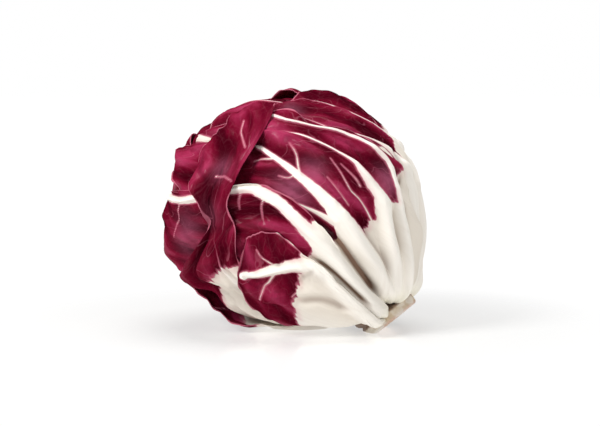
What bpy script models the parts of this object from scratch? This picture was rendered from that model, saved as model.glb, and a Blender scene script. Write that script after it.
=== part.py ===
# A head of red radicchio lying on its side, as picked.
# A dense heart on its cut stem is wrapped in twelve separate leaves, each draped over the ones inside it.
# Lengths are in millimetres and are turned into metres when a mesh is made.
# +Z is up and the floor is z = 0.
#
# Every leaf is described as seen from the middle of the head: "polar" is the angle away from the stem and
# "azimuth" runs round the stem, 0 on the right, 90 at the front, 180 on the left below and 270 at the back.

import bpy
import numpy as np
from mathutils import Vector
from mathutils.bvhtree import BVHTree

METRES = 0.001

# The middle of the head above the floor, and the way from it to the cut end of the stem
CENTRE = np.array([0.0, 0.0, 56.3])
STEM_AXIS = np.array([0.624, -0.155, -0.766])

# The heart: an egg-shaped ball with a neck that narrows to the stem, kept clear of the floor
HEART_HALF_SIZE = np.array([50.5, 47.0, 45.5])
FAR_END_SWELLING = 0.015
NECK_HEIGHT = 11.0
NECK_ANGLE = 30.0
HEART_ABOVE_FLOOR = 9.5
NECK_ABOVE_FLOOR = 18.0
NECK_BLEND = (22.0, 44.0)
STEM_RADIUS = 11.5
STEM_END = 70.5
STEM_ROOT = 58.0
# The stump: the stem's end with the cut stubs of older leaves round it
STUMP_RADIUS = 14.0
STUMP_START = 65.2
HEART_SIDES = 32
HEART_RINGS = 22

# The leaves: a thin blade with thicker ribs and a fleshy base
BLADE = 0.95
FLESH_ANGLE = 48.0
HEAD_RADIUS = 56.0
LEAF_BASE = 12.6
GAP = 0.52
RESTING_SMOOTH = 5
RAISING_ROUNDS = 3
# Where a triangle is sampled, as shares of its three corners
SAMPLE_STEPS = 8
SAMPLE_SHARES = np.array([
    (a, b, SAMPLE_STEPS - a - b) for a in range(SAMPLE_STEPS + 1) for b in range(SAMPLE_STEPS + 1 - a)
]) / SAMPLE_STEPS
# Farther from the middle than any piece reaches
OUTSIDE = 150.0
# How far, in degrees, a rib or a curl fades out past its ends, and how sharp a rib's ridge is
FADE = 12.0
RIB_SHARPNESS = 0.9


def unit(vector):
    return vector / np.linalg.norm(vector)


AXIS = unit(STEM_AXIS)
FRONT = unit(np.array([0.0, -1.0, 0.0]) - AXIS * AXIS.dot([0.0, -1.0, 0.0]))
RIGHT = np.cross(FRONT, AXIS)


def towards(polar, azimuth):
    """Unit vectors from the middle of the head at these angles, in degrees."""
    p = np.radians(polar)[..., None]
    z = np.radians(azimuth)[..., None]
    return np.cos(p) * AXIS + np.sin(p) * (np.cos(z) * RIGHT + np.sin(z) * FRONT)


def smooth_step(low, high, value):
    """0 at `low`, 1 at `high` and smooth between them, in either order."""
    share = np.clip((value - low) / (high - low), 0.0, 1.0)
    return share * share * (3.0 - 2.0 * share)


def curve(points, at):
    """A smooth curve through (polar, value) points, read at the polar angles `at`."""
    x, y = np.array(points, float).T
    slope = np.gradient(y, x)
    i = np.clip(np.searchsorted(x, at) - 1, 0, len(x) - 2)
    width = x[i + 1] - x[i]
    u = np.clip((at - x[i]) / width, 0.0, 1.0)
    first = (2 * u**3 - 3 * u**2 + 1) * y[i] + (u**3 - 2 * u**2 + u) * width * slope[i]
    second = (3 * u**2 - 2 * u**3) * y[i + 1] + (u**3 - u**2) * width * slope[i + 1]
    return first + second


def heart_radius(polar, direction):
    ball = 1.0 / np.linalg.norm(direction / HEART_HALF_SIZE, axis=-1)
    ball = ball * (1.0 + FAR_END_SWELLING * smooth_step(122.0, 165.0, polar))
    round_form = ball + NECK_HEIGHT * np.exp(-((polar / NECK_ANGLE) ** 2))
    past_neck = smooth_step(*NECK_BLEND, polar)
    above = NECK_ABOVE_FLOOR + (HEART_ABOVE_FLOOR - NECK_ABOVE_FLOOR) * past_neck
    return np.minimum(round_form, floor_radius(direction, above))


def floor_radius(direction, above=0.0):
    """Radius that ends this far above the floor in each direction; very large for those that look up."""
    down = np.maximum(-direction[..., 2], 1e-3)
    return (CENTRE[2] - above) / down


def add_material(name, colour, roughness):
    material = bpy.data.materials.new(name)
    material.use_nodes = True
    shader = material.node_tree.nodes["Principled BSDF"]
    shader.inputs["Base Color"].default_value = (*colour, 1.0)
    shader.inputs["Roughness"].default_value = roughness
    shader.inputs["Metallic"].default_value = 0.0
    return material


def cream_flesh(name):
    return add_material(name + "_cream", (0.85, 0.82, 0.72), 0.5)


def wine_red_leaf(name):
    return add_material(name + "_red", (0.26, 0.012, 0.055), 0.42)


def lighter_red_leaf(name):
    return add_material(name + "_red", (0.33, 0.03, 0.09), 0.42)


def add_object(name, points, faces, material):
    mesh = bpy.data.meshes.new(name)
    mesh.from_pydata((points * METRES).tolist(), [], faces)
    mesh.materials.append(material)
    obj = bpy.data.objects.new(name, mesh)
    bpy.context.collection.objects.link(obj)
    return obj


def surface_of(points, faces):
    return BVHTree.FromPolygons([Vector(point) for point in points], faces)


# The heart

def heart_mesh():
    """Rings from the middle of the cut end, over the stem's side, then along the heart to its far end."""
    turn = np.arange(HEART_SIDES) * 360.0 / HEART_SIDES
    ring_directions = towards(np.full(HEART_SIDES, 90.0), turn)
    rings = [
        STEM_END * AXIS + STUMP_RADIUS * ring_directions,
        STUMP_START * AXIS + STUMP_RADIUS * ring_directions,
        STUMP_START * AXIS + STEM_RADIUS * ring_directions,
        STEM_ROOT * AXIS + STEM_RADIUS * ring_directions,
    ]
    for polar in np.linspace(12.0, 172.0, HEART_RINGS):
        direction = towards(np.full(HEART_SIDES, polar), turn)
        rings.append(direction * heart_radius(polar, direction)[:, None])
    far_end = -AXIS * heart_radius(180.0, -AXIS)
    points = np.vstack([STEM_END * AXIS, *rings, far_end])
    points[:, 2] = np.maximum(points[:, 2], -CENTRE[2])

    def at(ring, side):
        return 1 + ring * HEART_SIDES + side % HEART_SIDES

    faces = [(0, at(0, k), at(0, k + 1)) for k in range(HEART_SIDES)]
    for ring in range(len(rings) - 1):
        for k in range(HEART_SIDES):
            faces.append((at(ring, k), at(ring + 1, k), at(ring + 1, k + 1)))
            faces.append((at(ring, k), at(ring + 1, k + 1), at(ring, k + 1)))
    last = len(points) - 1
    faces += [(last, at(len(rings) - 1, k + 1), at(len(rings) - 1, k)) for k in range(HEART_SIDES)]
    return points, faces


# The leaves

def columns_between(count, dense_first, dense_last):
    """Shares from 0 up to (not including) 1, closer together beside a rib."""
    even = np.arange(count) / count
    if dense_first and dense_last:
        return (1.0 - np.cos(np.pi * even)) / 2.0
    return even**1.5 if dense_first else 1.0 - (1.0 - even) ** 1.5


def leaf_grid(leaf):
    """Angles of each point of a leaf: rows from base to tip, columns from low margin to high margin."""
    lines, counts = leaf["lines"], leaf["columns"]
    last = len(lines) - 1
    middle = leaf["middle"]
    places = []
    for k, count in enumerate(counts):
        shares = columns_between(count, k > 0, k + 1 < last)
        places += [k + share for share in shares]
    places = np.array(places + [float(last)])
    across = np.where(places < middle, places / middle - 1.0, (places - middle) / (last - middle))
    along = np.linspace(0.0, 1.0, leaf["rows"])[:, None]
    end = leaf["tip"] - leaf["round_tip"] * np.abs(across[None, :]) ** 3
    polar = LEAF_BASE + (end - LEAF_BASE) * along
    values = np.array([curve(line, polar) for line in lines])
    first = np.clip(places.astype(int), 0, last - 1)
    share = places - first
    column = np.arange(len(places))
    side = values[first, :, column].T * (1.0 - share) + values[first + 1, :, column].T * share
    return polar, side, along + 0.0 * polar, across + 0.0 * polar


def leaf_directions(leaf, polar, side):
    """`side` is an azimuth, or for a leaf with a heading the tilt out of the plane that it arches in."""
    if leaf["heading"] is None:
        return towards(polar, side)
    run = np.radians(polar)[..., None]
    tilt = np.radians(side)[..., None]
    ahead = towards(np.array(90.0), np.array(leaf["heading"]))
    beside = np.cross(AXIS, ahead)
    return np.cos(tilt) * (np.cos(run) * AXIS + np.sin(run) * ahead) + np.sin(tilt) * beside


def rib_height(leaf, polar, side):
    """The highest of the ridges of (path, width at base, width at tip, height at base, height at tip)."""
    height = np.zeros_like(polar)
    reach = HEAD_RADIUS * (np.sin(np.radians(polar)) if leaf["heading"] is None else 1.0)
    for path, wide, narrow, tall, low in leaf["ribs"]:
        start, end = path[0][0], path[-1][0]
        share = np.clip((polar - start) / (end - start), 0.0, 1.0)
        away = np.radians(side - curve(path, polar)) * reach
        half = (wide + (narrow - wide) * share) / 2.0
        ridge = (tall + (low - tall) * share) * np.exp(-((away / half) ** 2) * RIB_SHARPNESS)
        beyond = smooth_step(end + FADE, end, polar) * smooth_step(start - FADE, start, polar)
        clasping = 0.4 + 0.6 * smooth_step(10.0, 24.0, polar)
        height = np.maximum(height, ridge * beyond * clasping)
    return height


def edge_lift(leaf, polar, along, across):
    """How far the margins stand off: waves along both edges and the tip, and a curl on either side."""
    count, phase = leaf["waves"], leaf["phase"]
    rising = smooth_step(0.3, 0.85, along)
    side_wave = 0.5 + 0.5 * np.sin(2 * np.pi * count * along + phase + 2.0 * np.sign(across))
    tip_wave = 0.5 + 0.5 * np.sin(2 * np.pi * across * 1.6 + phase)
    sides = np.abs(across) ** 3 * rising * side_wave
    tip = smooth_step(0.72, 1.0, along) * tip_wave
    lift = leaf["ruffle"] * np.maximum(sides, tip)
    for side, first, last, size in leaf["curls"]:
        on_side = smooth_step(0.3, 1.0, across * side)
        in_reach = smooth_step(first - FADE, first, polar) * smooth_step(last + FADE, last, polar)
        lift = lift + size * on_side * in_reach
    return lift


def grid_triangles(rows, columns):
    """Both faces of the blade use these same triangles, so it keeps its thickness."""
    faces = []
    for i in range(rows - 1):
        for j in range(columns - 1):
            a, b = i * columns + j, i * columns + j + 1
            c, d = a + columns, b + columns
            faces += [(a, c, d), (a, d, b)]
    return faces


def leaf_faces(rows, columns):
    """Closed skin: the outer grid first, the inner grid after it, and the rim between them."""
    count = rows * columns
    outer = grid_triangles(rows, columns)
    inner = [(c + count, b + count, a + count) for a, b, c in outer]
    rim = [i * columns for i in range(rows)]
    rim += [(rows - 1) * columns + j for j in range(1, columns)]
    rim += [i * columns + columns - 1 for i in range(rows - 2, -1, -1)]
    rim += list(range(columns - 2, 0, -1))
    sides = []
    for a, b in zip(rim, rim[1:] + rim[:1]):
        sides += [(b, a, a + count), (b, a + count, b + count)]
    return outer + inner + sides


def neighbours_mean(radius):
    padded = np.pad(radius, 1, mode="edge")
    return (padded[:-2, 1:-1] + padded[2:, 1:-1] + padded[1:-1, :-2] + padded[1:-1, 2:]) / 4.0


def supports(directions, inside):
    """Radius of the outermost surface already built, in each direction."""
    found = np.zeros(len(directions))
    for index, direction in enumerate(directions):
        start = Vector(direction * OUTSIDE)
        hit = inside.ray_cast(start, Vector(-direction))
        if hit[3] is not None:
            found[index] = OUTSIDE - hit[3]
    return found


def rests_on(radius, directions, faces, inside, obstacles):
    """Raises the grid until neither its own triangles nor the pieces inside it come closer than GAP."""
    flat = radius.reshape(-1)
    corners = directions.reshape(-1, 3)
    triangles = np.array(faces)
    reach = np.linalg.norm(obstacles, axis=1)
    outward = obstacles / reach[:, None]
    nearby = (outward @ corners.T).max(axis=1) > np.cos(np.radians(12.0))
    reach, outward = reach[nearby], outward[nearby]
    for _ in range(RAISING_ROUNDS):
        points = np.einsum("sk,fkx->fsx", SAMPLE_SHARES, (corners * flat[:, None])[triangles])
        between = np.linalg.norm(points, axis=2)
        below = supports((points / between[..., None]).reshape(-1, 3), inside).reshape(between.shape)
        missing = np.maximum(below + GAP - between, 0.0).max(axis=1)
        raised = flat.copy()
        for k in range(3):
            np.maximum.at(raised, triangles[:, k], flat[triangles[:, k]] + missing)
        flat = raised
        skin = surface_of(corners * flat[:, None], faces)
        raised = flat.copy()
        for distance, direction in zip(reach, outward):
            hit = skin.ray_cast(Vector((0.0, 0.0, 0.0)), Vector(direction))
            if hit[3] is None or hit[3] >= distance + GAP:
                continue
            for corner in faces[hit[2]]:
                raised[corner] = max(raised[corner], flat[corner] + distance + GAP - hit[3])
        flat = raised
    return flat.reshape(radius.shape)


def drape(leaf, inside, obstacles):
    """Inner and outer radius of every point of a leaf laid over the pieces already there."""
    polar, side, along, across = leaf_grid(leaf)
    directions = leaf_directions(leaf, polar, side)
    shape = polar.shape
    lowest = supports(directions.reshape(-1, 3), inside).reshape(shape) + GAP
    radius = lowest.copy()
    for _ in range(RESTING_SMOOTH):
        radius = np.maximum(lowest, neighbours_mean(radius))
    faces = grid_triangles(*shape)
    radius = rests_on(radius, directions, faces, inside, obstacles)
    radius = radius + edge_lift(leaf, polar, along, across)
    flesh = leaf["flesh"] * np.exp(-((polar / FLESH_ANGLE) ** 4)) * (1.0 - across**4)
    outer = radius + BLADE + flesh + rib_height(leaf, polar, side)
    outer = np.minimum(outer, floor_radius(directions))
    return directions, radius, outer


def leaf_points(directions, inner, outer):
    return np.vstack([
        (directions * outer[..., None]).reshape(-1, 3),
        (directions * inner[..., None]).reshape(-1, 3),
    ])


def sampled(points, faces):
    """Closely spaced points on these faces."""
    corners = points[np.array(faces)]
    return np.einsum("sk,fkx->fsx", SAMPLE_SHARES, corners).reshape(-1, 3)


def leaf(lines, ribs, tip, **more):
    """One leaf's shape; `lines` are azimuths by polar angle, from its low margin to its high margin."""
    usual = dict(
        rows=17, columns=(9, 9), middle=1, heading=None,
        round_tip=8.0, waves=4.0, phase=0.0, ruffle=1.2, curls=(), flesh=1.1,
    )
    return {**usual, "lines": lines, "ribs": ribs, "tip": tip, **more}


def arched_leaf(heading, tip, phase, half_width=54.0, sway=6.0, **more):
    """A leaf that arches straight from the stem towards `heading` and over the far end of the head."""
    stops = np.array([10.0, 24.0, 60.0, 100.0, 135.0, tip])
    middle = sway * np.sin((stops - 10.0) / 40.0)
    spread = half_width * np.array([0.13, 0.4, 0.95, 1.0, 0.9, 0.5])
    rib = tuple(zip(stops, middle))
    low = tuple(zip(stops, middle - spread))
    high = tuple(zip(stops, middle + spread))
    ribs = ((rib, 11.0, 2.0, 2.6, 0.6),)
    return leaf((low, rib, high), ribs, tip, heading=heading, phase=phase, **more)


def inner_leaf(heading, tip, phase):
    return arched_leaf(heading, tip, phase, rows=14, columns=(6, 6), ruffle=2.0)


def right_leaf():
    """The leaf along the right side and over the top, with two pale ribs."""
    rib = (
        (10, -10), (30, -8), (57, -8), (75, -7), (86, -3), (93, 5), (100, 11), (114, 14), (123, 18),
        (131, 25), (138, 34),
    )
    second = (
        (10, -2), (30, 5), (46, 8), (62, 9), (70, 11), (77, 14), (84, 18), (90, 23), (96, 30),
        (103, 37), (114, 42), (138, 58),
    )
    low = ((10, -38), (20, -55), (45, -56), (75, -50), (100, -34), (122, -14), (138, 4))
    high = ((10, 18), (20, 35), (45, 48), (75, 58), (100, 66), (122, 72), (138, 78))
    swelling = ((9, -14), (18, -14), (26, -12))
    return leaf(
        (low, rib, second, high),
        ((rib, 14.0, 3.0, 3.6, 0.8), (second, 9.0, 2.0, 3.0, 0.8), (swelling, 17.0, 15.0, 9.0, 4.0)),
        138,
        columns=(8, 5, 5),
        flesh=0.8,
        waves=3.0,
        phase=1.0,
        ruffle=2.0,
        curls=((-1, 95, 118, 2.2),),
    )


def front_leaf():
    """The broad leaf facing the viewer: three pale ribs fan out over it."""
    low = (
        (10, 42), (20, 16), (36, 0), (46, 12), (58, 21), (70, 22), (78, 24), (90, 30), (96, 33),
        (103, 39), (110, 48), (127, 56), (156, 112),
    )
    third = (
        (10, 46), (20, 24), (35, 14), (50, 26), (58, 30), (71, 29), (78, 30), (83, 32), (90, 35),
        (96, 38), (102, 42), (111, 52), (120, 60), (129, 64), (156, 122),
    )
    second = (
        (10, 50), (31, 38), (46, 38), (60, 43), (72, 45), (85, 46), (91, 48), (96, 51), (105, 57),
        (113, 63), (130, 82), (156, 134),
    )
    rib = (
        (10, 58), (34, 56), (46, 59), (55, 63), (64, 66), (72, 68), (80, 69), (87, 71), (97, 74),
        (111, 77), (119, 79), (140, 98), (156, 143),
    )
    high = ((10, 80), (20, 98), (40, 106), (70, 110), (100, 120), (120, 132), (140, 148), (156, 172))
    return leaf(
        (low, third, second, rib, high),
        ((rib, 13.0, 3.0, 4.8, 1.4), (second, 10.0, 2.0, 4.0, 0.5), (third, 8.0, 2.0, 3.2, 0.7)),
        156,
        columns=(2, 5, 5, 8),
        middle=3,
        flesh=1.4,
        waves=3.5,
        phase=2.0,
        ruffle=1.2,
    )


def low_front_leaf():
    """The leaf below it, with a wide blade below its strong midrib and none above, turning to the left."""
    low = (
        (11, 64), (20, 72), (30, 79), (44, 81), (58, 81), (70, 81), (84, 83), (91, 85), (97, 88),
        (104, 92), (112, 104), (134, 148),
    )
    rib = (
        (11, 86), (44, 86), (55, 86), (65, 87), (75, 88), (84, 89), (92, 90), (99, 93), (106, 97),
        (110, 103), (116, 119), (121, 131), (128, 148), (134, 164),
    )
    high = (
        (11, 110), (20, 126), (40, 130), (60, 132), (80, 138), (93, 150),
        (105, 176), (118, 186), (134, 196),
    )
    return leaf(
        (low, rib, high),
        ((rib, 12.0, 3.0, 4.8, 1.8),),
        134,
        columns=(4, 11),
        waves=3.0,
        phase=0.6,
        ruffle=1.5,
        curls=((1, 90, 120, 2.8),),
        round_tip=5.0,
    )


def crest_leaf():
    """The leaf that climbs the left side as a band and ends in a crest over the top."""
    low = (
        (11, 112), (20, 104), (40, 110), (57, 122), (71, 126), (83, 124), (94, 113), (106, 107),
        (114, 96), (119, 84), (124, 72), (129, 63), (134, 62), (141, 66),
    )
    rib = (
        (11, 141), (39, 142), (57, 146), (71, 140), (82, 136), (96, 126), (110, 117),
        (122, 99), (134, 86), (141, 86),
    )
    high = (
        (11, 168), (20, 182), (40, 182), (60, 173), (75, 166), (90, 166), (95, 158), (98, 138),
        (102, 126), (109, 121), (121, 119), (133, 117), (141, 108),
    )
    return leaf(
        (low, rib, high),
        ((rib[:7], 9.0, 3.0, 2.0, 0.8),),
        141,
        flesh=0.8,
        columns=(7, 9),
        rows=19,
        waves=2.5,
        ruffle=0.8,
        round_tip=2.0,
        curls=((1, 104, 122, 2.2), (-1, 84, 98, 1.4)),
    )


def under_leaf():
    """The leaf that the head lies on: its broad rib is pressed flat, and its edge curls up on the left."""
    low = (
        (12, 180), (30, 168), (45, 163), (60, 163), (72, 170), (85, 174), (96, 178), (103, 182), (115, 190),
        (142, 205),
    )
    rib = ((12, 200), (30, 192), (50, 191), (75, 200), (100, 210), (125, 217), (142, 220))
    high = ((12, 238), (30, 258), (60, 256), (100, 262), (125, 262), (142, 245))
    return leaf(
        (low, rib, high),
        ((rib, 28.0, 4.0, 8.5, 2.0),),
        142,
        waves=3.0,
        phase=1.4,
        ruffle=1.5,
        curls=((-1, 64, 92, 5.5),),
    )


def short_leaf():
    """The short outermost leaf, low at the front, with a branching pale rib and a swollen base."""
    low = ((12, 82), (20, 88), (33, 91), (45, 93), (60, 95), (67, 97), (74, 98), (88, 100))
    rib = (
        (12, 100), (29, 97), (45, 96), (54, 96), (60, 99), (65, 107), (68, 113), (73, 123),
        (77, 126), (88, 112),
    )
    high = (
        (12, 136), (20, 146), (30, 154), (41, 157), (54, 152), (62, 145), (70, 138),
        (77, 130), (88, 112),
    )
    swelling = ((12, 124), (26, 130), (40, 135))
    return leaf(
        (low, rib, high),
        ((rib[:9], 9.0, 4.0, 3.2, 2.2), (swelling, 16.0, 14.0, 2.4, 1.6)),
        88,
        columns=(5, 11),
        rows=15,
        waves=2.0,
        phase=2.5,
        ruffle=0.8,
        round_tip=7.0,
        curls=((1, 45, 80, 1.5),),
    )


def leaf_shapes():
    """Every leaf by name, from the innermost to the outermost."""
    return {
        "inner_leaf_back": inner_leaf(290.0, 182.0, 0.0),
        "inner_leaf_top": inner_leaf(20.0, 190.0, 1.3),
        "inner_leaf_front": inner_leaf(115.0, 176.0, 2.6),
        "inner_leaf_low": inner_leaf(205.0, 168.0, 3.9),
        "leaf_back": arched_leaf(312.0, 156.0, 0.4),
        "leaf_back_low": arched_leaf(258.0, 164.0, 2.2),
        "leaf_right": right_leaf(),
        "leaf_front": front_leaf(),
        "leaf_front_low": low_front_leaf(),
        "leaf_crest": crest_leaf(),
        "leaf_under": under_leaf(),
        "leaf_short": short_leaf(),
    }


def build():
    points, faces = heart_mesh()
    pieces = {"heart": (points, faces)}
    all_points, all_faces = points, list(faces)
    obstacles = sampled(points, faces)
    for name, shape in leaf_shapes().items():
        inside = surface_of(all_points, all_faces)
        directions, inner, outer = drape(shape, inside, obstacles)
        points, faces = leaf_points(directions, inner, outer), leaf_faces(*inner.shape)
        pieces[name] = (points, faces)
        all_faces += [tuple(corner + len(all_points) for corner in face) for face in faces]
        all_points = np.vstack([all_points, points])
        obstacles = np.vstack([obstacles, sampled(points, grid_triangles(*inner.shape))])
        print(f"{name}: reaches {outer.max():.1f} mm, thinnest {(outer - inner).min():.2f} mm")

    # The origin is on the floor, under the middle of the whole head.
    middle = (all_points.min(axis=0) + all_points.max(axis=0)) / 2.0
    to_origin = np.array([-middle[0], -middle[1], CENTRE[2]])
    print("centre of the leaves' angles:", to_origin.round(4).tolist())
    for name, (points, faces) in pieces.items():
        if name == "heart":
            material = cream_flesh(name)
        elif name.startswith("inner"):
            material = lighter_red_leaf(name)
        else:
            material = wine_red_leaf(name)
        add_object(name, points + to_origin, faces, material)


for old in list(bpy.data.objects):
    bpy.data.objects.remove(old)
build()
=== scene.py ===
# %% [markdown]
# # A head of red radicchio
#
# A radicchio is a bud the size of a grapefruit. Its leaves grow one inside the other from a short stem,
# and each one closes over the ones inside it. This lesson dresses a plain model of such a head, in
# which every leaf is already a solid of its own, with the ribs, veins, folds and colours of the real
# one.
#
# Lengths are in millimetres until a mesh is made. The model itself is in metres.

from types import SimpleNamespace

import bpy
import numpy as np
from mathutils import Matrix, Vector
from mathutils.bvhtree import BVHTree


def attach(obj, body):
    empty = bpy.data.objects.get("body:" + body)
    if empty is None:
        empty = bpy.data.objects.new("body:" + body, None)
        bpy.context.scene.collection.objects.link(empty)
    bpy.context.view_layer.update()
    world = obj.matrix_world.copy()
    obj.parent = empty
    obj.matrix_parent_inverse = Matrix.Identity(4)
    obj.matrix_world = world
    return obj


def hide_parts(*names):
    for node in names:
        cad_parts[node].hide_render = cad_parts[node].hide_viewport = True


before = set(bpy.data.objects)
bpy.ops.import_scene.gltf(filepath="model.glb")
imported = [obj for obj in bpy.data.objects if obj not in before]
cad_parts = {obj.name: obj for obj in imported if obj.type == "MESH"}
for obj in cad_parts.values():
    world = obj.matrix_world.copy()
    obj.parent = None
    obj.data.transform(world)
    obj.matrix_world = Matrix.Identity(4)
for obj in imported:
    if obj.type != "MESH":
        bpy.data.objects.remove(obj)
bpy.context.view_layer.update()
METRES = 0.001
print("leaves and heart:", ", ".join(sorted(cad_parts)))

# %% [markdown]
# ## The camera
#
# The head was photographed from almost the height of its own middle, with a long lens from about a
# metre away. A long lens keeps the near leaves from looking too large. The camera looks at a point
# slightly right of and below the middle of the head, so that the head sits left of and above the middle
# of the picture.

# %% Set up the camera
HEAD_CENTRE = np.array([-1.1224, -1.154, 56.3])
MM_PER_PIXEL = 0.47
PICTURE_WIDTH = 600
CAMERA_DISTANCE = 900.0
CAMERA_RISE = np.radians(5.5)


def aim(camera, target, distance, rise):
    """Puts a camera in front of the target, this far away and raised by this angle."""
    away = np.array([0.0, -np.cos(rise), np.sin(rise)])
    camera.location = Vector((target + away * distance) * METRES)
    camera.rotation_euler = Vector(-away).to_track_quat("-Z", "Y").to_euler()


camera = bpy.data.objects.new("camera", bpy.data.cameras.new("camera"))
bpy.context.scene.collection.objects.link(camera)
bpy.context.scene.camera = camera
camera.data.sensor_width = 36.0
camera.data.lens = camera.data.sensor_width * CAMERA_DISTANCE / (MM_PER_PIXEL * PICTURE_WIDTH)
aim(camera, HEAD_CENTRE + np.array([3.3, 0.0, -2.3]), CAMERA_DISTANCE, CAMERA_RISE)
print(f"lens {camera.data.lens:.0f} mm")

# %% [markdown]
# ## Angles on a head
#
# Every leaf runs from the stem around the head, so places on it are given as seen from the middle of
# the head. The polar angle is the angle away from the stem, and the azimuth runs round the stem: 0 on
# the right, 90 at the front, 180 on the left below and 270 at the back. A margin or a rib is then a
# short list of (polar, azimuth) points with a smooth curve through them.

# %% Angles and smooth curves
STEM_AXIS = np.array([0.624, -0.155, -0.766])
AXIS = STEM_AXIS / np.linalg.norm(STEM_AXIS)
TOWARDS_VIEWER = np.array([0.0, -1.0, 0.0])
FRONT = TOWARDS_VIEWER - AXIS * AXIS.dot(TOWARDS_VIEWER)
FRONT = FRONT / np.linalg.norm(FRONT)
RIGHT = np.cross(FRONT, AXIS)
HEAD_RADIUS = 56.0
MM_PER_DEGREE = np.radians(HEAD_RADIUS)


def smooth_step(low, high, value):
    share = np.clip((value - low) / (high - low), 0.0, 1.0)
    return share * share * (3.0 - 2.0 * share)


def through(x, y, at):
    """A smooth curve through the values y at x, read at `at`; rows of values give a sheaf of curves."""
    x, y = np.asarray(x, float), np.asarray(y, float)
    slope = np.gradient(y, x, axis=0)
    i = np.clip(np.searchsorted(x, at) - 1, 0, len(x) - 2)
    width = x[i + 1] - x[i]
    u = np.clip((at - x[i]) / width, 0.0, 1.0)
    if y.ndim == 2:
        width, u = width[:, None], u[:, None]
    first = (2 * u**3 - 3 * u**2 + 1) * y[i] + (u**3 - 2 * u**2 + u) * width * slope[i]
    second = (3 * u**2 - 2 * u**3) * y[i + 1] + (u**3 - u**2) * width * slope[i + 1]
    return first + second


def on_path(path, polar):
    x, y = zip(*path)
    return through(x, y, polar)


def directions_of(leaf, polar, side):
    """Unit vectors from the head's middle; `side` is an azimuth, or a tilt out of an arched leaf's plane."""
    run = np.radians(polar)[..., None]
    turn = np.radians(side)[..., None]
    if leaf["heading"] is None:
        return np.cos(run) * AXIS + np.sin(run) * (np.cos(turn) * RIGHT + np.sin(turn) * FRONT)
    heading = np.radians(leaf["heading"])
    ahead = np.cos(heading) * RIGHT + np.sin(heading) * FRONT
    beside = np.cross(AXIS, ahead)
    return np.cos(turn) * (np.cos(run) * AXIS + np.sin(run) * ahead) + np.sin(turn) * beside


def towards(polar, azimuth):
    return directions_of({"heading": None}, np.array(polar), np.array(azimuth))


def hump(directions, polar, azimuth, radius):
    """1 at a place on the head, falling smoothly towards 0 over this radius in mm."""
    apart = np.linalg.norm(directions - towards(polar, azimuth), axis=-1) * HEAD_RADIUS
    return np.exp(-((apart / radius) ** 2))


def reach_of(leaf, polar):
    """How many mm on the head one radian of `side` spans."""
    return HEAD_RADIUS * (np.sin(np.radians(polar)) if leaf["heading"] is None else np.ones_like(polar))


print(f"the stem points {np.degrees(np.arcsin(-AXIS[2])):.0f} degrees below level")

# %% [markdown]
# ## The leaves
#
# Each leaf is described by its lines, from its low margin over its ribs to its high margin. Its rib
# list gives the widths and heights of the thick ribs, and `white` how wide the white on each rib is at
# some polar angles, because it narrows faster than the rib does. `twigs` are the thinner veins that
# branch off. `red_from` says at which polar angle the red of the blade starts, for some azimuths: below
# it the leaf is white and fleshy, as radicchio leaves are.
#
# The rest gives a leaf its own character. `swellings` are broad ridges without a white of their own.
# `lobes` are low humps or hollows, each with its place, radius and height, and `blooms` are pale
# lilac patches of painted sheen, where light glints on the blade, each with its place, radius and
# strength. `grooves` are narrow furrows, painted dark with shade, each a path with its half width and
# depth. `lift` says how far the low and the high margin stand up in waves, `folds` how crumpled the
# blade is, and `swollen_base` how much thicker it is at the stem. From the polar angle `pressed_from`
# on, the low margin lies flat and has no pale rim. A leaf with a `heading` arches from the stem straight
# over the head. `rows` and `columns` are the plain leaf's grid, `detail` is the size of the finer one,
# and `middle` numbers the line of the midrib.

# %% Helpers that describe a leaf
LEAF_BASE = 12.6


def leaf(lines, ribs, tip, **more):
    usual = dict(
        heading=None, rows=17, columns=(9, 9), middle=1, detail=(63, 48), slot="outer_leaves",
        round_tip=8.0, flesh=1.1, swollen_base=0.0, folds=1.0, lift=(1.0, 1.0), pressed_from=400.0,
        twigs=(), swellings=(), lobes=(), grooves=(), blooms=(), red_from=((-180, 60), (400, 60)),
    )
    return {**usual, "lines": lines, "ribs": ribs, "tip": tip, **more}


LEAVES = {}


def add_leaf(name, described):
    """Keeps a leaf; they are added in the order in which they lie on each other, the innermost first."""
    LEAVES[name] = described
    counts = [f"{len(described[key])} {key}" for key in ("ribs", "twigs", "grooves", "lobes", "blooms")]
    print(name, "with", ", ".join(counts))


def forked_veins(rib, starts, reach=24.0, spread=19.0, width=1.3):
    """Veins that leave a rib at these polar angles, on either side by turns, and bend forwards."""
    found = []
    for count, start in enumerate(starts):
        sign = 1.0 if count % 2 else -1.0
        middle = float(on_path(rib, start))
        path = [(start + reach * s, middle + sign * spread * s**0.8) for s in (0.0, 0.3, 0.65, 1.0)]
        found.append((tuple(path), width, 0.3))
    return tuple(found)


# %% The leaves inside and at the back
def arched_leaf(heading, tip, half_width=54.0, sway=6.0, **more):
    stops = np.array([10.0, 24.0, 60.0, 100.0, 135.0, tip])
    middle = sway * np.sin((stops - 10.0) / 40.0)
    spread = half_width * np.array([0.13, 0.4, 0.95, 1.0, 0.9, 0.5])
    rib = tuple(zip(stops, middle))
    low = tuple(zip(stops, middle - spread))
    high = tuple(zip(stops, middle + spread))
    twigs = forked_veins(rib, (34.0, 42.0, 58.0, 68.0, 84.0, 96.0), width=1.1)
    white = (((40, 9.0), (60, 5.5), (90, 2.6), (110, 1.0), (130, 0.5), (200, 0.4)),)
    ribs = ((rib, 11.0, 2.0, 2.6, 0.6),)
    return leaf((low, rib, high), ribs, tip, white=white, heading=heading, twigs=twigs, **more)


def inner_leaf(heading, tip):
    coarse = dict(rows=14, columns=(6, 6), detail=(30, 26))
    return arched_leaf(heading, tip, slot="inner_leaves", folds=0.5, **coarse)


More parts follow.
